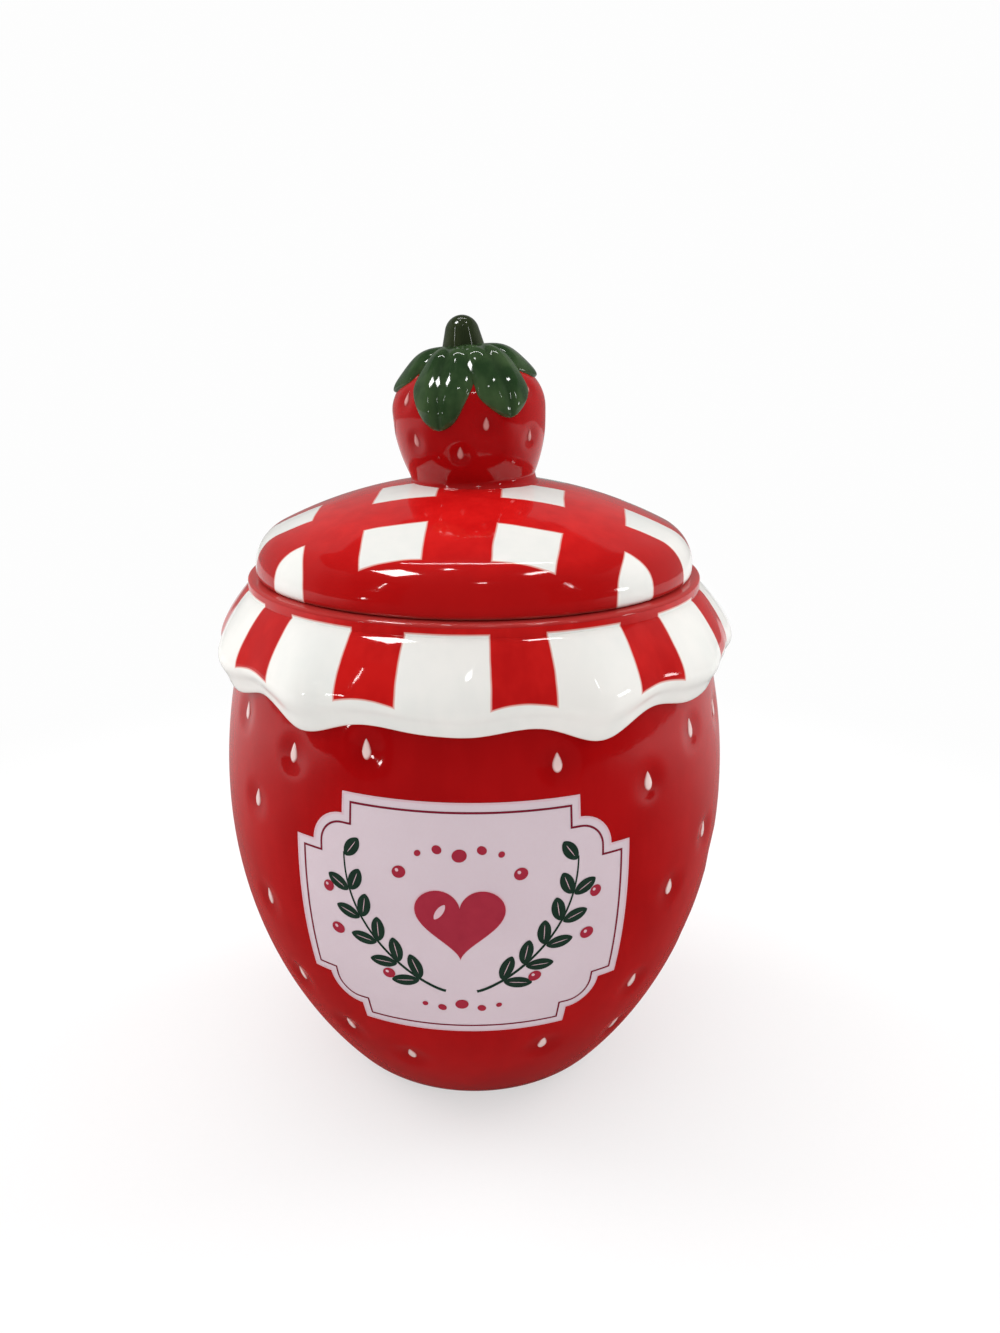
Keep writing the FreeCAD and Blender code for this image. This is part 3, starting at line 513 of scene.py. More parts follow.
def striped(tree):
    """Red within 6.1 degrees of 9 + 30k, about 1.03 mm a degree, and above the stripe's end, which
    is arched up in the middle by the square of the share across. Red too in the band at the top."""
    x, y, z = millimetres(tree)
    wobble = wander(tree, 70.0, 2.2)
    turn = maths(tree, "ARCTAN2", x, maths(tree, "MULTIPLY", y, -1.0))
    turn = maths(tree, "MULTIPLY_ADD", turn, 180 / math.pi, 360 - STRIPE_BEARING)
    off = maths(tree, "PINGPONG", turn, STRIPE_STEP)
    off = maths(tree, "MULTIPLY_ADD", wobble, 0.45, off)
    across = maths(tree, "MULTIPLY", maths(tree, "SUBTRACT", STRIPE_HALF, off), 1.03)
    arch = maths(tree, "POWER", maths(tree, "DIVIDE", off, STRIPE_HALF), 2.0)
    above = maths(tree, "SUBTRACT", maths(tree, "MULTIPLY_ADD", arch, 0.9, z), STRIPE_END)
    above = maths(tree, "MULTIPLY_ADD", wobble, 0.35, above)
    band = maths(tree, "SUBTRACT", maths(tree, "MULTIPLY_ADD", wobble, 0.08, z), BAND_END)
    inside = maths(tree, "MAXIMUM", maths(tree, "MINIMUM", across, above), band)
    return tinted(tree, painted(tree, inside, bright_red(tree)), attribute(tree, "hem_line"),
                  0.65, (0.74, 0.42, 0.36))


skirt_glaze = glazed("skirt_stripes_glaze", striped, ripple=1.7, size=95.0, peel=0.06)
jar_body.data.materials.append(skirt_glaze)
jar_skirt = make_piece("jar_skirt", [(skirt_points, 0, True, True)], [skirt_glaze],
                       {"hem_line": hem_line})
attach(jar_skirt, "root")


# ------------------------------------------------------------------ seeds on the side
# Each hollow holds one seed, a raised drop of off-white slip trailed from a nozzle, pointed at
# the top and rounded below. The red glaze round it bleeds a little pink into its edge.
SEED_LENGTH, SEED_WIDTH, SEED_LIFT = 5.5, 2.45, 0.42


def seed_grid(length, width, lift, rings=9, columns=28):
    """A drop on the plane: a circle drawn to a point above by (1 - 0.72 height^1.3), domed up by
    lift times the square root of (1 - share^2). Its rim dips below the surface it sits on."""
    share = np.linspace(0, 1, rings)[::-1][:, None]
    angle = once_round(columns)
    up = np.sin(angle)
    taper = np.where(up > 0, 1 - 0.72 * np.abs(up) ** 1.3, 1.0)
    across = 0.5 * width * share * np.cos(angle) * taper
    upward = 0.5 * length * share * np.where(up > 0, up * 1.28, up * 0.72)
    dome = lift * np.sqrt(np.clip(1 - share ** 2, 0, 1)) - 0.12 * lift
    return np.stack([across, upward, dome + 0 * angle], axis=2), share + 0 * angle


def seeds_on(points, outward, bearings, sunk, size, draw):
    """The drop of (length, width, lift) at each point, sunk a little against the outward direction,
    with small changes of size and lean from one to the next. Right is level and across outward,
    and up is outward cross right."""
    random = np.random.default_rng(draw)
    turn = np.radians(bearings)
    rights = np.stack([np.cos(turn), np.sin(turn), 0 * turn], axis=1)
    length, width, lift = size
    grids, rims = [], []
    for point, right, out in zip(points - outward * sunk, rights, outward):
        drop, rim = seed_grid(length * random.uniform(0.92, 1.08),
                              width * random.uniform(0.9, 1.1), lift)
        lean = math.radians(random.uniform(-9, 9))
        up = np.cross(out, right)
        right, up = (right * math.cos(lean) + up * math.sin(lean),
                     up * math.cos(lean) - right * math.sin(lean))
        grids.append((point + drop[..., :1] * right + drop[..., 1:2] * up + drop[..., 2:] * out,
                      0, True, False))
        rims.append(rim.ravel())
    return grids, {"rim": np.concatenate(rims)}


def seed_cream(tree):
    """Off-white slip, stained pink by the red glaze towards the edge of the drop."""
    rim = ramp_between(tree, maths(tree, "MULTIPLY_ADD", noise(tree, 500.0), 0.3,
                                   attribute(tree, "rim")), 0.75, 1.15)
    tone = blend_colours(tree, noise(tree, 240.0), (0.82, 0.66, 0.63), (0.74, 0.50, 0.48))
    return blend_colours(tree, rim, tone, (0.45, 0.085, 0.085))


seed_slip = glazed("seed_slip", seed_cream, ripple=0.4)
outward = side_point(JAR_SEEDS[:, 0], JAR_SEEDS[:, 1], 1.0) - seed_centres
grids, rims = seeds_on(seed_centres, outward, JAR_SEEDS[:, 0], SPOT_DEPTH,
                       (SEED_LENGTH, SEED_WIDTH, SEED_LIFT), 3)
jar_seeds = make_piece("jar_seeds", grids, [seed_slip], rims)
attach(jar_seeds, "root")


# ------------------------------------------------------------------ label
# A ceramic transfer fired onto the front of the belly: a pale field with stepped, rounded
# corners and a thin inner line, printed with a heart between two berried sprigs.
LABEL_BEARING, LABEL_HEIGHT = -3.2, 64.3
LABEL_HALF_WIDTH, LABEL_HALF_HEIGHT, LABEL_STEP, LABEL_ROUND = 37.5, 29.2, 4.7, 7.3
LABEL_MIDDLE_X = LABEL_HALF_WIDTH - LABEL_STEP - LABEL_ROUND      # middle of a corner's round
LABEL_MIDDLE_Y = LABEL_HALF_HEIGHT - LABEL_STEP - LABEL_ROUND


def on_side_at(across, up, lift):
    """A point of the label's plane wrapped on the side: across is measured round the belly."""
    return side_point(LABEL_BEARING + np.degrees(across / BELLY_RADIUS), LABEL_HEIGHT + up, lift)


def label_outline(inset):
    """The label's edge, moved in by an inset, from the middle of the right side anticlockwise:
    straight side, step in, quarter round, step in, straight top, and the same mirrored."""
    width, height = LABEL_HALF_WIDTH - inset, LABEL_HALF_HEIGHT - inset
    curve = LABEL_ROUND - inset
    side_x, top_y = LABEL_MIDDLE_X + curve, LABEL_MIDDLE_Y + curve
    low_y, near_x = LABEL_MIDDLE_Y - inset, LABEL_MIDDLE_X - inset
    corner = section(
        straight(width, 0, width, low_y, 18), straight(width, low_y, side_x, low_y, 6),
        straight(side_x, low_y, side_x, LABEL_MIDDLE_Y, 3),
        arc(LABEL_MIDDLE_X, LABEL_MIDDLE_Y, curve, 0, 90, 13),
        straight(LABEL_MIDDLE_X, top_y, near_x, top_y, 3),
        straight(near_x, top_y, near_x, height, 6), straight(near_x, height, 0, height, 26))
    upper = section(corner, corner[::-1] * (-1, 1))
    return np.concatenate([upper, upper[::-1][1:-1] * (1, -1)])


def label_ring(outer, inner, lift):
    """A closed strip between two insets of the edge, wrapped on the side."""
    return np.stack([on_side_at(*label_outline(i).T, lift) for i in (outer, inner)])


def label_field(lift):
    """Rows of the field from bottom to top, each as wide as the edge is at that height: in the
    rounds, the half width is the middle's plus the square root of (round^2 - height past it^2)."""
    curve, middle_y, height = LABEL_ROUND, LABEL_MIDDLE_Y, LABEL_HALF_HEIGHT
    levels = (-height, -middle_y - curve, -middle_y, middle_y, middle_y + curve, height)
    pieces = []
    for band, count in enumerate((6, 14, 34, 14, 6)):
        up = np.linspace(levels[band], levels[band + 1], count)[:, None]
        over = np.clip(np.abs(up) - middle_y, 0, curve)
        half = LABEL_MIDDLE_X + np.sqrt(np.clip(curve ** 2 - over ** 2, 0, None))
        if band in (0, 2, 4):
            half = (LABEL_HALF_WIDTH if band == 2 else LABEL_MIDDLE_X) + 0 * up
        pieces.append(on_side_at(half * np.linspace(-1, 1, 70), up, lift))
    return pieces


def blob(x, y, outline, lift, rings=4):
    """A flat shape round a middle: rings drawn from its outline, an array of (across, up), in to
    the middle as a pole, and wrapped on the side."""
    share = np.linspace(1, 0, rings)[:, None]
    return on_side_at(x + share * outline[:, 0], y + share * outline[:, 1], lift)


def heart(size, count=72):
    """Heart: across is 16 sine cubed, up is 13 cosine less 5, 2 and 1 of its multiples."""
    t = -once_round(count)
    up = 13 * np.cos(t) - 5 * np.cos(2 * t) - 2 * np.cos(3 * t) - np.cos(4 * t)
    return np.stack([16 * np.sin(t) ** 3, up + 2.5], axis=1) * size / 32


def leaf_shape(length, width, direction, count=36):
    """A pointed leaf: width times the sine of its length, both ends drawn out, and turned."""
    t = once_round(count)
    along = -0.5 * length * np.cos(t)
    side = -0.5 * width * np.sin(t) * np.abs(np.sin(t)) ** 0.35
    c, s = math.cos(math.radians(direction)), math.sin(math.radians(direction))
    return np.stack([along * c - side * s, along * s + side * c], axis=1)


def round_dot(radius, count=24):
    """A dot, a circle a little uneven as if printed."""
    t = once_round(count)
    r = radius * (1 + 0.05 * np.sin(2 * t + radius * 9))
    return np.stack([r * np.cos(t), r * np.sin(t)], axis=1)


def stroke(points, width, lift):
    """A ribbon of a width along points on the label's plane, tapered at its far end."""
    points = np.asarray(points, float)
    along = np.gradient(points, axis=0)
    along /= np.linalg.norm(along, axis=1, keepdims=True)
    side = np.stack([-along[:, 1], along[:, 0]], axis=1)
    half = 0.5 * width * np.linspace(1.0, 0.45, len(points))[:, None]
    left, right = points + side * half, points - side * half
    return np.stack([on_side_at(*right.T, lift), on_side_at(*left.T, lift)])


FIELD, INK, GREEN, PALE, LINE = 0, 1, 2, 3, 4
label_grids = [(grid, FIELD, False, False) for grid in label_field(0.05)]


def lay(grid, ink, closed=True):
    """Adds a printed shape to the label. Each lift is a little over the shape it lies on."""
    label_grids.append((grid, ink, closed, False))


lay(label_ring(0.02, 0.45, 0.08), PALE)
lay(label_ring(1.85, 2.32, 0.09), LINE)
lay(blob(0, 1.5, heart(19.6), 0.07, 8), PALE)
lay(blob(0, 1.5, heart(19.0), 0.10, 8), INK)
lay(blob(-4.2, 5.0, leaf_shape(4.2, 1.5, 58), 0.13), PALE)
SPRIG_POINTS, SPRIG_LEAVES, SPRIG_LEAF_WIDTH = 40, 6, 3.1
for side in (-1, 1):
    sweep = np.linspace(0, 1, SPRIG_POINTS)
    line = np.stack([side * (3.5 + 21.5 * np.sin(sweep * math.pi / 2) ** 1.1),
                     -16.0 + 32.0 * sweep ** 1.45], axis=1)
    lay(stroke(line, 0.8, 0.09), GREEN, False)
    for i in range(SPRIG_LEAVES):
        k = int((0.18 + 0.16 * i) * (SPRIG_POINTS - 1))
        heading = np.degrees(np.arctan2(*(line[k] - line[k - 1])[::-1]))
        length = 6.6 - 0.25 * i
        for turn in (38, -42)[:2 if i < SPRIG_LEAVES - 1 else 1]:
            direction = heading + turn * side
            way = math.radians(direction)
            middle = line[k] + 0.60 * length * np.array([math.cos(way), math.sin(way)])
            lay(blob(*middle, leaf_shape(length, SPRIG_LEAF_WIDTH, direction), 0.10), GREEN)
            lay(blob(*middle, leaf_shape(0.62 * length, 0.16, direction), 0.13), PALE)
    for x, y, r in ((16.4, -12.6, 1.45), (27.8, -3.2, 1.55), (29.2, 7.0, 1.35), (12.6, 13.6, 1.45)):
        lay(blob(side * x, y, round_dot(r), 0.11), INK)
        lay(blob(side * x - 0.4, y + 0.4, round_dot(0.26 * r, 12), 0.14), PALE)
for y, fall, more in ((18.0, 1.2, 0.2), (-20.0, -1.2, -0.4)):
    lay(blob(0, y, round_dot(1.5), 0.10), INK)
    for x, rise, r in ((4.6, fall, 1.0), (8.6, more, 0.7)):
        for side in (1, -1):
            lay(blob(side * x, y + rise, round_dot(r), 0.10), INK)


def label_tint(tree):
    """Pale rose field, with the pinker cast of the glaze beneath showing in faint clouds."""
    tone = blend_colours(tree, noise(tree, 60.0, 3.0), (0.630, 0.525, 0.572), (0.690, 0.585, 0.630))
    return tinted(tree, tone, noise(tree, 1500.0, 1.0), 0.12, (0.62, 0.36, 0.40))


def ink(name, light, dark):
    """Satin ink with the slight unevenness of a screen print."""
    return glazed(name, lambda tree: blend_colours(tree, noise(tree, 380.0, 3.0), light, dark),
                  smooth=0.16)


label_materials = [
    glazed("label_field_print", label_tint, ripple=0.6, smooth=0.16, dull=0.06),
    ink("label_red_ink", (0.40, 0.026, 0.050), (0.30, 0.015, 0.034)),
    ink("label_green_ink", (0.016, 0.042, 0.026), (0.008, 0.022, 0.014)),
    ink("label_pale_ink", (0.72, 0.50, 0.55), (0.64, 0.42, 0.47)),
    ink("label_wine_ink", (0.22, 0.014, 0.034), (0.15, 0.009, 0.024)),
]
label = make_piece("label_transfer", label_grids, label_materials)
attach(label, "root")


# ------------------------------------------------------------------ lid
# Slip-cast in one with its knob: a shallow dome with a rounded edge that rests on the jar's
# rim, and a ring underneath that keeps it in the mouth. Painted in a broad red check.
SEAT, CROWN = RIM_HEIGHT, RIM_HEIGHT + 21.9
LID_RADIUS, LID_SHOULDER, LID_EDGE, LID_ROUND = 52.5, 9.6, 130.6, 1.4
LID_WALL, RING_OUTER, RING_INNER, RING_DEPTH, RING_ROUND = 5.0, 47.5, 43.5, 8.0, 2.0
LID_COLUMNS = 320
CHECK_COLUMN, CHECK_ROW, CHECK_TURN = 14.3, 13.2, 4.9
CHECK_LIMIT, CHECK_SHIFT = 49.0, 0.25
rise, reach = CROWN - LID_EDGE, LID_RADIUS - LID_SHOULDER
DOME = (reach ** 2 + rise ** 2 - LID_SHOULDER ** 2) / (2 * (rise - LID_SHOULDER))
DOME_CENTRE = CROWN - DOME
shoulder_turn = math.degrees(math.acos(reach / (DOME - LID_SHOULDER)))
under_turn = math.degrees(math.acos(RING_INNER / (DOME - LID_WALL)))
under_edge = DOME_CENTRE + math.sqrt((DOME - LID_WALL) ** 2 - RING_INNER ** 2)
tip_height = SEAT - RING_DEPTH + RING_ROUND
underside = section(
    arc(0, DOME_CENTRE, DOME - LID_WALL, 90, under_turn, 22),
    straight(RING_INNER, under_edge, RING_INNER, tip_height, 8),
    arc(RING_INNER + RING_ROUND, tip_height, RING_ROUND, 180, 360, 11),
    straight(RING_OUTER, tip_height, RING_OUTER, SEAT, 6),
    straight(RING_OUTER, SEAT, LID_RADIUS - LID_ROUND, SEAT, 4))
lid_top = section(
    arc(LID_RADIUS - LID_ROUND, SEAT + LID_ROUND, LID_ROUND, -90, 0, 7),
    straight(LID_RADIUS, SEAT + LID_ROUND, LID_RADIUS, LID_EDGE, 2),
    arc(reach, LID_EDGE, LID_SHOULDER, 0, shoulder_turn, 16),
    arc(0, DOME_CENTRE, DOME, shoulder_turn, 90, 48))
lid_profile = section(underside, lid_top)
lid_profile[[0, -1], 0] = 0.0
lid_points = turned(lid_profile, LID_COLUMNS)
lid_thin = edge_mask(lid_profile, LID_COLUMNS, SEAT, LID_RADIUS - 1.6)


def checked(tree):
    """White squares where a white column crosses a white row, in a check of 14.3 by 13.2 mm
    turned 4.9 degrees, and red all round them. Bands wander a little, as a brush does. They draw
    together by a tenth on the shoulder, and the last white columns run down over the edge. The
    red is a lighter copy of the stripes' red, painted light on the lid's top, and it darkens low
    on the shoulder as painted shade."""
    u, v, z = millimetres(tree, CHECK_TURN)
    low = maths(tree, "SUBTRACT", 1.0, ramp_between(tree, z, LID_EDGE + 2.9, LID_EDGE + 15.4))
    u = maths(tree, "MULTIPLY", u, maths(tree, "MULTIPLY_ADD", low, 0.10, 1.0))
    u = maths(tree, "MAXIMUM", maths(tree, "MINIMUM", u, CHECK_LIMIT), -CHECK_LIMIT)
    u = maths(tree, "ADD", maths(tree, "SUBTRACT", u, CHECK_SHIFT), wander(tree, 42.0, 2.0))
    v = maths(tree, "ADD", v, wander(tree, 57.0, 2.0))
    column = maths(tree, "SUBTRACT", CHECK_COLUMN / 2 + 0.1, maths(tree, "PINGPONG", u, CHECK_COLUMN))
    row = maths(tree, "SUBTRACT", CHECK_ROW / 2, maths(tree, "PINGPONG", v, CHECK_ROW))
    # Painted shade low on the shoulder, over a red painted lighter than the stripes' as painted light
    # on the top.
    low = maths(tree, "SUBTRACT", 1.0, ramp_between(tree, z, LID_EDGE + 3.9, LID_EDGE + 12.9))
    red = tinted(tree, bright_red(tree, 0.64, 0.54), low, 0.85, (0.375, 0.0046, 0.0048))
    return tinted(tree, painted(tree, maths(tree, "MAXIMUM", column, row), red),
                  attribute(tree, "thin"), 0.5, (0.62, 0.22, 0.18))


lid_glaze = glazed("lid_check_glaze", checked, ripple=1.5, size=85.0, peel=0.05)
lid_slots = np.where(np.arange(len(lid_profile) - 1) < len(underside) - 1, 1, 0)
lid_dish = make_piece("lid_dish", [(lid_points, lid_slots, True, False)],
                      [lid_glaze, white_glaze], {"thin": lid_thin})
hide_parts("lid")
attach(lid_dish, "root")


# ------------------------------------------------------------------ strawberry knob
# The knob is a solid berry, cast with the lid and leaning a little to the left. It has the same
# deep red glaze as the jar, and smaller hollows with a seed in each.
KNOB_LEAN = math.radians(4.8)
BERRY_BASE, BERRY_RADIUS, BERRY_BELLY, BERRY_SHOULDER = 14.5, 18.0, 15.4, 10.0
BERRY_RISE, BERRY_SUNK, BEAD, BEAD_HEIGHT = 13.2, 3.2, 0.8, 0.55
BERRY_SPOT_WIDTH, BERRY_SPOT_DEPTH, BERRY_SEED_SIZE = 6.5, 0.5, (3.7, 1.7, 0.34)
BERRY_CROWN = BERRY_BELLY + BERRY_RISE
side_step, base_step = BERRY_RADIUS - BERRY_SHOULDER, BERRY_RADIUS - BERRY_BASE
BERRY_TOP = (side_step ** 2 + BERRY_RISE ** 2 - BERRY_SHOULDER ** 2) \
    / (2 * (BERRY_RISE - BERRY_SHOULDER))
CHEEK = (base_step ** 2 + BERRY_BELLY ** 2) / (2 * base_step)
TOP_ANGLE = math.acos(side_step / (BERRY_TOP - BERRY_SHOULDER))
TOP_RUN, SHOULDER_RUN = BERRY_TOP * (math.pi / 2 - TOP_ANGLE), BERRY_SHOULDER * TOP_ANGLE


def leaned(points):
    """The knob's own axis set on the crown of the dome and leaned towards -X."""
    c, s = math.cos(KNOB_LEAN), math.sin(KNOB_LEAN)
    return np.stack([points[..., 0] * c - points[..., 2] * s, points[..., 1],
                     points[..., 0] * s + points[..., 2] * c + CROWN], axis=-1)


def berry_point(reach):
    """Radius, height and normal's angle on the berry, a distance down from the middle of its
    top: the top arc, then the shoulder arc, then the cheek arc. Each is a middle plus a radius
    times the angle's cosine and sine."""
    reach = np.asarray(reach, float)
    past = reach - TOP_RUN - SHOULDER_RUN
    zone = [reach < TOP_RUN, past < 0]
    angle = np.select(zone, [math.pi / 2 - reach / BERRY_TOP,
                             TOP_ANGLE - (reach - TOP_RUN) / BERRY_SHOULDER], -past / CHEEK)
    size = np.select(zone, [BERRY_TOP, BERRY_SHOULDER], CHEEK)
    middle_r = np.select(zone, [0.0, BERRY_RADIUS - BERRY_SHOULDER], BERRY_RADIUS - CHEEK)
    middle_z = np.select(zone, [BERRY_CROWN - BERRY_TOP, BERRY_BELLY], BERRY_BELLY)
    return middle_r + size * np.cos(angle), middle_z + size * np.sin(angle), angle


down = np.linspace(TOP_RUN + SHOULDER_RUN + CHEEK * math.asin(BERRY_BELLY / CHEEK), 0, 84)
berry_radius, berry_height, _ = berry_point(down)
berry_profile = section(straight(0, -BERRY_SUNK, BERRY_BASE, -BERRY_SUNK, 3),
                        straight(BERRY_BASE, -BERRY_SUNK, BERRY_BASE, 0, 9),
                        np.stack([berry_radius, berry_height], axis=1))
berry_profile[-1, 0] = 0.0
berry_points = turned(berry_profile, 180)
berry_normals = grid_normals(berry_points)
# A soft bead of glaze fills the join: the side swells by 0.8 mm just above the dome.
x, y, z = np.moveaxis(leaned(berry_points), -1, 0)
above_dome = np.clip(z - DOME_CENTRE - np.sqrt(DOME ** 2 - x ** 2 - y ** 2), 0, None)
bead = BEAD * np.exp(-above_dome / BEAD_HEIGHT) * (berry_profile[:, 1:2] > 0.1 - BERRY_SUNK)
berry_points[..., :2] *= (1 + bead / np.maximum(berry_profile[:, 0:1], 5))[..., None]
BERRY_SEEDS = np.array([
    (-54, 0.675), (-45, 0.353), (-9, 0.241), (12, 0.448), (51, 0.315), (54, 0.699),
    (92, 0.441), (122, 0.664), (128, 0.252), (163, 0.469), (-164, 0.238), (-152, 0.678),
    (-130, 0.441), (-95, 0.287), (-82, 0.510)]) * (1, BERRY_CROWN)
turn = np.radians(BERRY_SEEDS[:, 0])
seed_radius, seed_height, slope = berry_point(np.interp(BERRY_SEEDS[:, 1], berry_height, down))
berry_seed_out = around(np.cos(slope), turn, np.sin(slope))
berry_seed_at = around(seed_radius, turn, seed_height)
berry_points, berry_hollow = pressed(berry_points, berry_normals, berry_seed_at,
                                     BERRY_SPOT_WIDTH, BERRY_SPOT_DEPTH)
berry = make_piece("knob_berry", [(leaned(berry_points), 0, True, False)], [red_glaze],
                   {"thin": 0.35 * np.clip(bead, 0, 1), "hollow": berry_hollow})
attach(berry, "root")

grids, rims = seeds_on(berry_seed_at, berry_seed_out, BERRY_SEEDS[:, 0], BERRY_SPOT_DEPTH,
                       BERRY_SEED_SIZE, 8)
grids = [(leaned(points), *rest) for points, *rest in grids]


def seed_rose(tree):
    """The knob's seeds are smaller and take more of the red: a dusty rose."""
    rim = ramp_between(tree, attribute(tree, "rim"), 0.45, 0.95)
    tone = blend_colours(tree, noise(tree, 300.0), (0.62, 0.30, 0.28), (0.52, 0.20, 0.19))
    return blend_colours(tree, rim, tone, (0.36, 0.045, 0.045))


rose_slip = glazed("knob_seed_slip", seed_rose, ripple=0.4)
berry_seeds = make_piece("knob_seeds", grids, [rose_slip], rims)
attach(berry_seeds, "root")


# ------------------------------------------------------------------ leaves and stem
# Six thick leaves lie over the top of the berry, each with a groove down its middle, and a
# stout round-ended stem stands among them. All modelled on the master and glazed dark green.
LEAVES = [(-86, 19.0), (-21, 27.5), (30, 26.0), (84, 18.0), (143, 24.0), (-147, 23.5)]
LEAF_HALF, LEAF_THICK, LEAF_HUMP, LEAF_GROOVE, LEAF_TIP = 6.8, 1.6, 1.3, 0.6, 0.70
STEM_BASE, STEM_RADIUS, STEM_HEIGHT, STEM_SUNK = 5.2, 4.0, 7.95, 6.0


def leaf_grid(bearing, reach, rows=60, columns=48):
    """A closed leaf and its rim and groove masks: across it, a rounded top with a middle groove
    and a shallow underside sunk in the berry; along it, a half width of a power of a sine that
    comes to a point, with small lobes; laid on the berry's side and humped where it leaves the
    stem. Its rows lie closer together towards the tip."""
    along = (0.02 + 0.98 * (1 - (1 - np.linspace(0.0, 1.0, rows)) ** 1.5))[:, None]
    turn = once_round(columns)
    level, side = np.sin(turn), np.cos(turn)
    radius, height, angle = berry_point(along * reach)
    tip = np.sqrt(np.clip(1 - np.clip((along - LEAF_TIP) / (1 - LEAF_TIP), 0, None) ** 2, 0, 1))
    lobes = 1 + 0.05 * np.sin(15 * along + math.radians(3 * bearing))
    across = LEAF_HALF * np.sin(math.pi * (0.13 + 0.62 * along)) ** 0.8 * tip * lobes * side
    hump = LEAF_HUMP * np.exp(-((along * reach - 1.7 * STEM_BASE) / (0.9 * STEM_BASE)) ** 2)
    upper = (LEAF_THICK + hump) * np.sqrt(tip) * np.clip(level, 0, None) ** 0.8
    groove = LEAF_GROOVE * tip * np.exp(-(side / 0.22) ** 2)
    lift = np.where(level >= 0, upper - groove, level * np.sqrt(tip))
    lift = lift - across ** 2 / (2 * BERRY_RADIUS)
    b = math.radians(bearing)
    out = radius + lift * np.cos(angle)
    points = np.stack([across * math.cos(b) + out * math.sin(b),
                       across * math.sin(b) - out * math.cos(b),
                       height + lift * np.sin(angle)], axis=2)
    points[[0, -1]] = points[[0, -1]].mean(axis=1, keepdims=True)
    rim = np.clip(1 - np.abs(level) * 2.2, 0, 1) * tip
    in_groove = (1 - np.clip(np.abs(side) * 3, 0, 1)) * (level > 0) + 0 * along
    return points[::-1], rim[::-1].ravel(), in_groove[::-1].ravel()


leaf_points, leaf_rims, leaf_grooves = zip(*(leaf_grid(*leaf) for leaf in LEAVES))
leaf_grids = [(leaned(points), 0, True, False) for points in leaf_points]


def leaf_green(tree):
    """Dark green glaze: nearly black in the grooves, and worn to a yellower green on the rims."""
    green = pooled(tree, (0.046, 0.084, 0.032), (0.017, 0.042, 0.014), 110.0, 0.5)
    green = tinted(tree, green, attribute(tree, "groove"), 0.6, (0.014, 0.030, 0.012))
    return tinted(tree, green, attribute(tree, "rim"), 0.25, (0.110, 0.120, 0.055))


green_glaze = glazed("leaf_green_glaze", leaf_green, ripple=1.8, size=125.0, smooth=0.03)
leaves = make_piece("knob_leaves", leaf_grids, [green_glaze],
                    {"rim": np.concatenate(leaf_rims), "groove": np.concatenate(leaf_grooves)},
                    sharp=80)
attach(leaves, "root")

ball = BERRY_CROWN + STEM_HEIGHT - STEM_RADIUS
slant = math.degrees(math.atan2(BERRY_CROWN - ball, STEM_BASE)
                     + math.acos(STEM_RADIUS / math.hypot(STEM_BASE, BERRY_CROWN - ball)))
tangent = arc(0, ball, STEM_RADIUS, slant, slant, 1)[0]
stem_foot, stem_low = STEM_BASE + 0.6, BERRY_CROWN - STEM_SUNK
stem_profile = section(straight(0, stem_low, stem_foot, stem_low, 3),
                       straight(stem_foot, stem_low, STEM_BASE, BERRY_CROWN, 8),
                       straight(STEM_BASE, BERRY_CROWN, *tangent, 10),
                       arc(0, ball, STEM_RADIUS, slant, 90, 18))
stem_profile[-1, 0] = 0.0


def stem_green(tree):
    """The stem's green is browner, with the glaze thin over its rounded end."""
    return pooled(tree, (0.034, 0.045, 0.019), (0.018, 0.027, 0.011), 120.0, 0.8)


stem_glaze = glazed("stem_green_glaze", stem_green, ripple=1.2, smooth=0.06)
stem = make_piece("knob_stem", [(leaned(turned(stem_profile, 96)), 0, True, False)], [stem_glaze])
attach(stem, "root")


# ------------------------------------------------------------------ table and light
# A plain white table under even light, with a pale surround behind and beside the jar and
# a dark room in front. The glaze shows the surround in its flanks and small lamps in its curves.
CAMERA_WHITE = 0.985
TABLE_HALF, CARD_RADIUS, CARD_HEIGHT = 4.0, 1.3, 1.3      # metres


def stage_sheet(name, points, material):
    """A flat or curved sheet of the set, from a grid of points in metres."""
    sheet = make_piece(name, [(points / MM, 0, False, False)], [material])
    return sheet


def glow(tree, strength):
    """Plain white light of a strength."""
    return add_node(tree, "Emission", {"Strength": strength})[0]


def mixed_shaders(tree, *inputs):
    """By a share, the first shader where it is 0 and the second where it is 1."""
    return add_node(tree, "MixShader", enumerate(inputs))[0]


def floor_material():
    """White table: a pale shadow near the jar and plain white to the camera far from it. The glaze
    shows it dim in front, and brighter beside and behind the jar."""
    material, tree, shader = new_material("white_table")
    cloth = noise(tree, 700.0, 3.0)
    feed(tree, shader, {
        "Base Color": blend_colours(tree, cloth, (0.875, 0.87, 0.87), (0.905, 0.90, 0.90)),
        "Roughness": 0.7, "Specular IOR Level": 0.1})
    away = add_node(tree, "VectorMath", {0: own_place(tree)}, operation="LENGTH")["Value"]
    far = maths(tree, "MULTIPLY_ADD", ramp_between(tree, away, 0.09, 0.32), 0.42, 0.58)
    path = add_node(tree, "LightPath")
    table = mixed_shaders(tree, maths(tree, "MULTIPLY", far, path["Is Camera Ray"]),
                          shader.outputs[0], glow(tree, CAMERA_WHITE))
    x, y, _ = millimetres(tree)
    behind = maths(tree, "MULTIPLY_ADD", maths(tree, "ABSOLUTE", x), 0.8, y)
    behind = maths(tree, "MULTIPLY_ADD", ramp_between(tree, behind, 0.0, 650.0), 0.68, 0.05)
    table = mixed_shaders(tree, path["Is Glossy Ray"], table, glow(tree, behind))
    feed(tree, tree.nodes["Material Output"], {"Surface": table})
    return material


span = np.linspace(-TABLE_HALF, TABLE_HALF, 9)
floor_points = np.stack(np.broadcast_arrays(span[None, :], span[:, None], 0.0), axis=2)
stage_sheet("table_top", floor_points, floor_material())


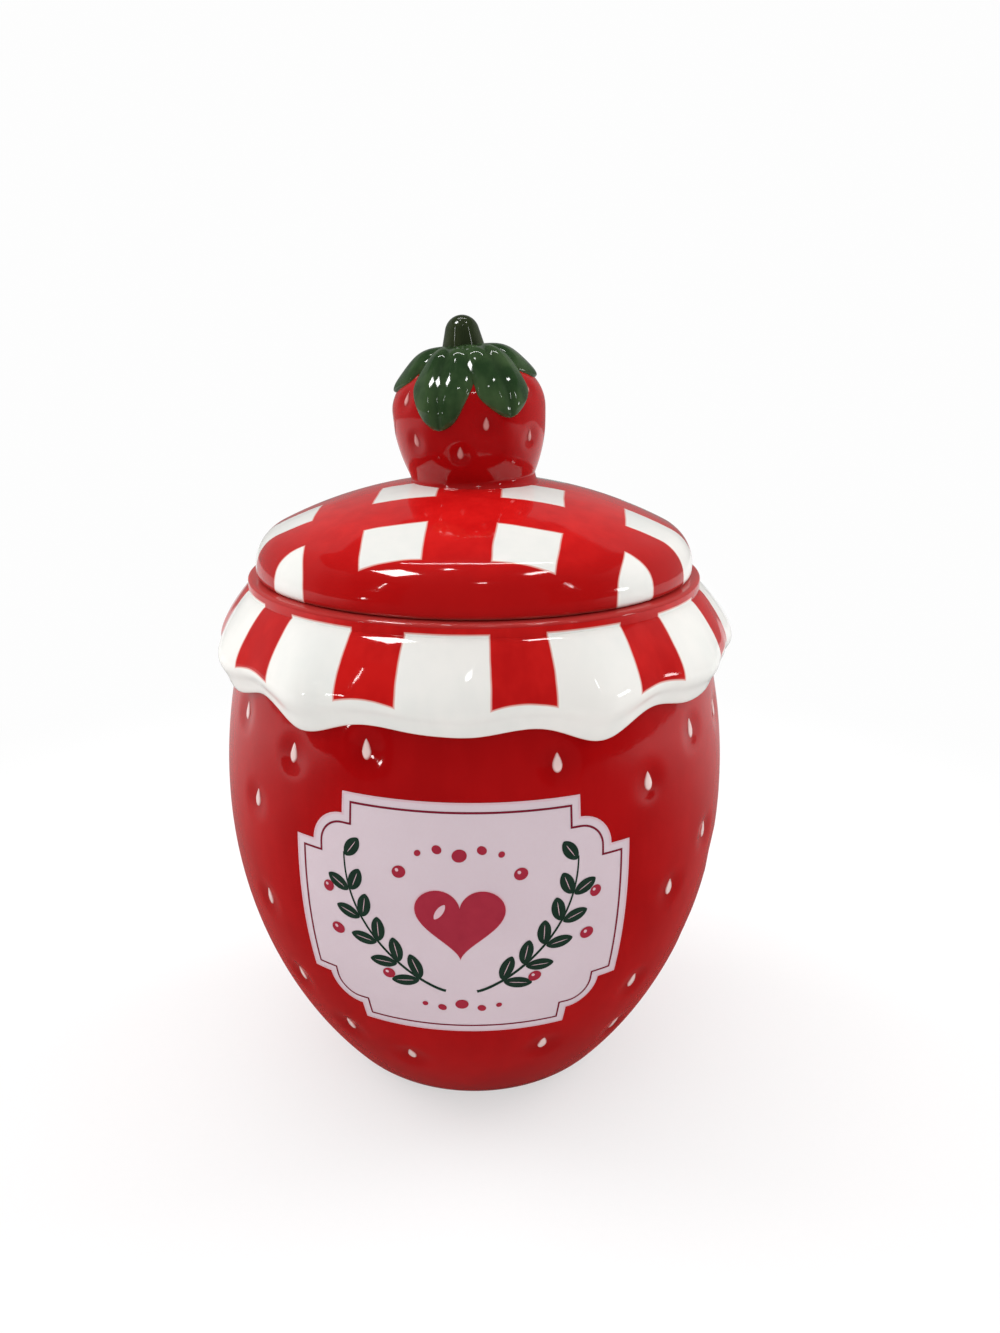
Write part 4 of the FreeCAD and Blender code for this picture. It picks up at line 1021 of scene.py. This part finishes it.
def surround_material():
    """Pale card that only the glaze reflects."""
    material, tree, _ = new_material("pale_surround")
    fade = ramp_between(tree, millimetres(tree)[1], -750.0, 350.0)
    feed(tree, tree.nodes["Material Output"],
         {"Surface": glow(tree, maths(tree, "MULTIPLY", fade, 0.26))})
    return material


turn = np.linspace(-0.30 * math.pi, 1.30 * math.pi, 60)[None, :]
level = np.linspace(0.0, CARD_HEIGHT, 5)[:, None]
card = np.stack(np.broadcast_arrays(CARD_RADIUS * np.cos(turn), CARD_RADIUS * np.sin(turn), level),
                axis=2)
surround = stage_sheet("pale_surround", card, surround_material())
surround.visible_camera = False
surround.visible_diffuse = False
surround.visible_shadow = False

world = bpy.data.worlds.new("studio")
scene.world = world
world.use_nodes = True
tree = world.node_tree
path = add_node(tree, "LightPath")
# Soft light a little stronger from behind, plain white to the camera, and a dim room in the
# reflections.
toward = add_node(tree, "SeparateXYZ", {0: add_node(tree, "TexCoord")["Generated"]})
strength = maths(tree, "MULTIPLY_ADD", toward[1], 0.17, 0.85)
strength = maths(tree, "MULTIPLY", strength,
                 maths(tree, "MULTIPLY_ADD", path["Is Glossy Ray"], -0.94, 1.0))
seen = path["Is Camera Ray"]
strength = maths(tree, "MULTIPLY", strength, maths(tree, "SUBTRACT", 1.0, seen))
strength = maths(tree, "MULTIPLY_ADD", seen, CAMERA_WHITE, strength)
feed(tree, tree.nodes["Background"], {"Color": (1, 1, 1), "Strength": strength})
world.cycles.sampling_method = "NONE"

JAR_TOP, JAR_MIDDLE, JAR_FRONT = (0, 0, 0.15), (0, 0, 0.10), (0, 0, 0.12)


def lamp(name, place, aim, width, height, power, lights="shine"):
    """A rectangular soft lamp at a place, facing a point: for the shine of the glaze only, or for
    matt light only."""
    data = bpy.data.lights.new(name, "AREA")
    data.shape = "RECTANGLE"
    data.size, data.size_y, data.energy = width, height, power
    lamp_object = bpy.data.objects.new(name, data)
    scene.collection.objects.link(lamp_object)
    lamp_object.location = place
    x, y, z = np.subtract(place, aim)
    lamp_object.rotation_euler = (math.atan2(math.hypot(x, y), z), 0, math.atan2(x, -y))
    lamp_object.visible_glossy = lights == "shine"
    lamp_object.visible_diffuse = lights == "matt"


lamp("overhead_soft", (-0.25, -0.15, 1.1), (0, 0, 0.08), 0.9, 0.9, 2.8, "matt")
lamp("left_fill", (-1.2, 0.45, 0.65), JAR_MIDDLE, 0.8, 0.8, 9.5, "matt")
lamp("right_fill", (1.2, 0.45, 0.65), JAR_MIDDLE, 0.8, 0.8, 9.5, "matt")
lamp("left_glint", (-1.0, -0.72, 0.17), JAR_MIDDLE, 0.05, 0.06, 0.25)
lamp("right_glint", (1.2, -0.29, 0.24), JAR_MIDDLE, 0.16, 0.10, 0.8)
lamp("ceiling_window", (-0.55, -0.20, 1.2), JAR_TOP, 0.26, 0.28, 7.0)
lamp("ceiling_right", (0.40, -0.25, 1.2), JAR_TOP, 0.16, 0.08, 1.2)
lamp("ceiling_strip", (0.0, 0.34, 1.2), JAR_TOP, 0.70, 0.022, 1.5)
lamp("ceiling_square", (-0.16, -0.02, 1.25), JAR_TOP, 0.06, 0.06, 0.35)
lamp("front_strip", (0.10, -0.75, 1.15), JAR_FRONT, 0.10, 0.03, 0.35)
lamp("left_frame", (-1.0, -0.77, 0.80), JAR_FRONT, 0.022, 0.50, 1.0)
lamp("right_frame", (0.95, -0.80, 0.80), JAR_FRONT, 0.022, 0.42, 0.8)

camera_data = bpy.data.cameras.new("camera")
camera_data.lens = 27.0
camera_data.sensor_width = 36.0
camera_data.clip_start, camera_data.clip_end = 0.01, 20.0
camera = bpy.data.objects.new("camera", camera_data)
camera.location = (0.0, -0.2421, 0.1808)
camera.rotation_mode = "XYZ"
camera.rotation_euler = (math.radians(90 - 17.98), math.radians(-0.19), math.radians(-1.41))
scene.collection.objects.link(camera)
scene.camera = camera
scene.view_settings.view_transform = "Standard"
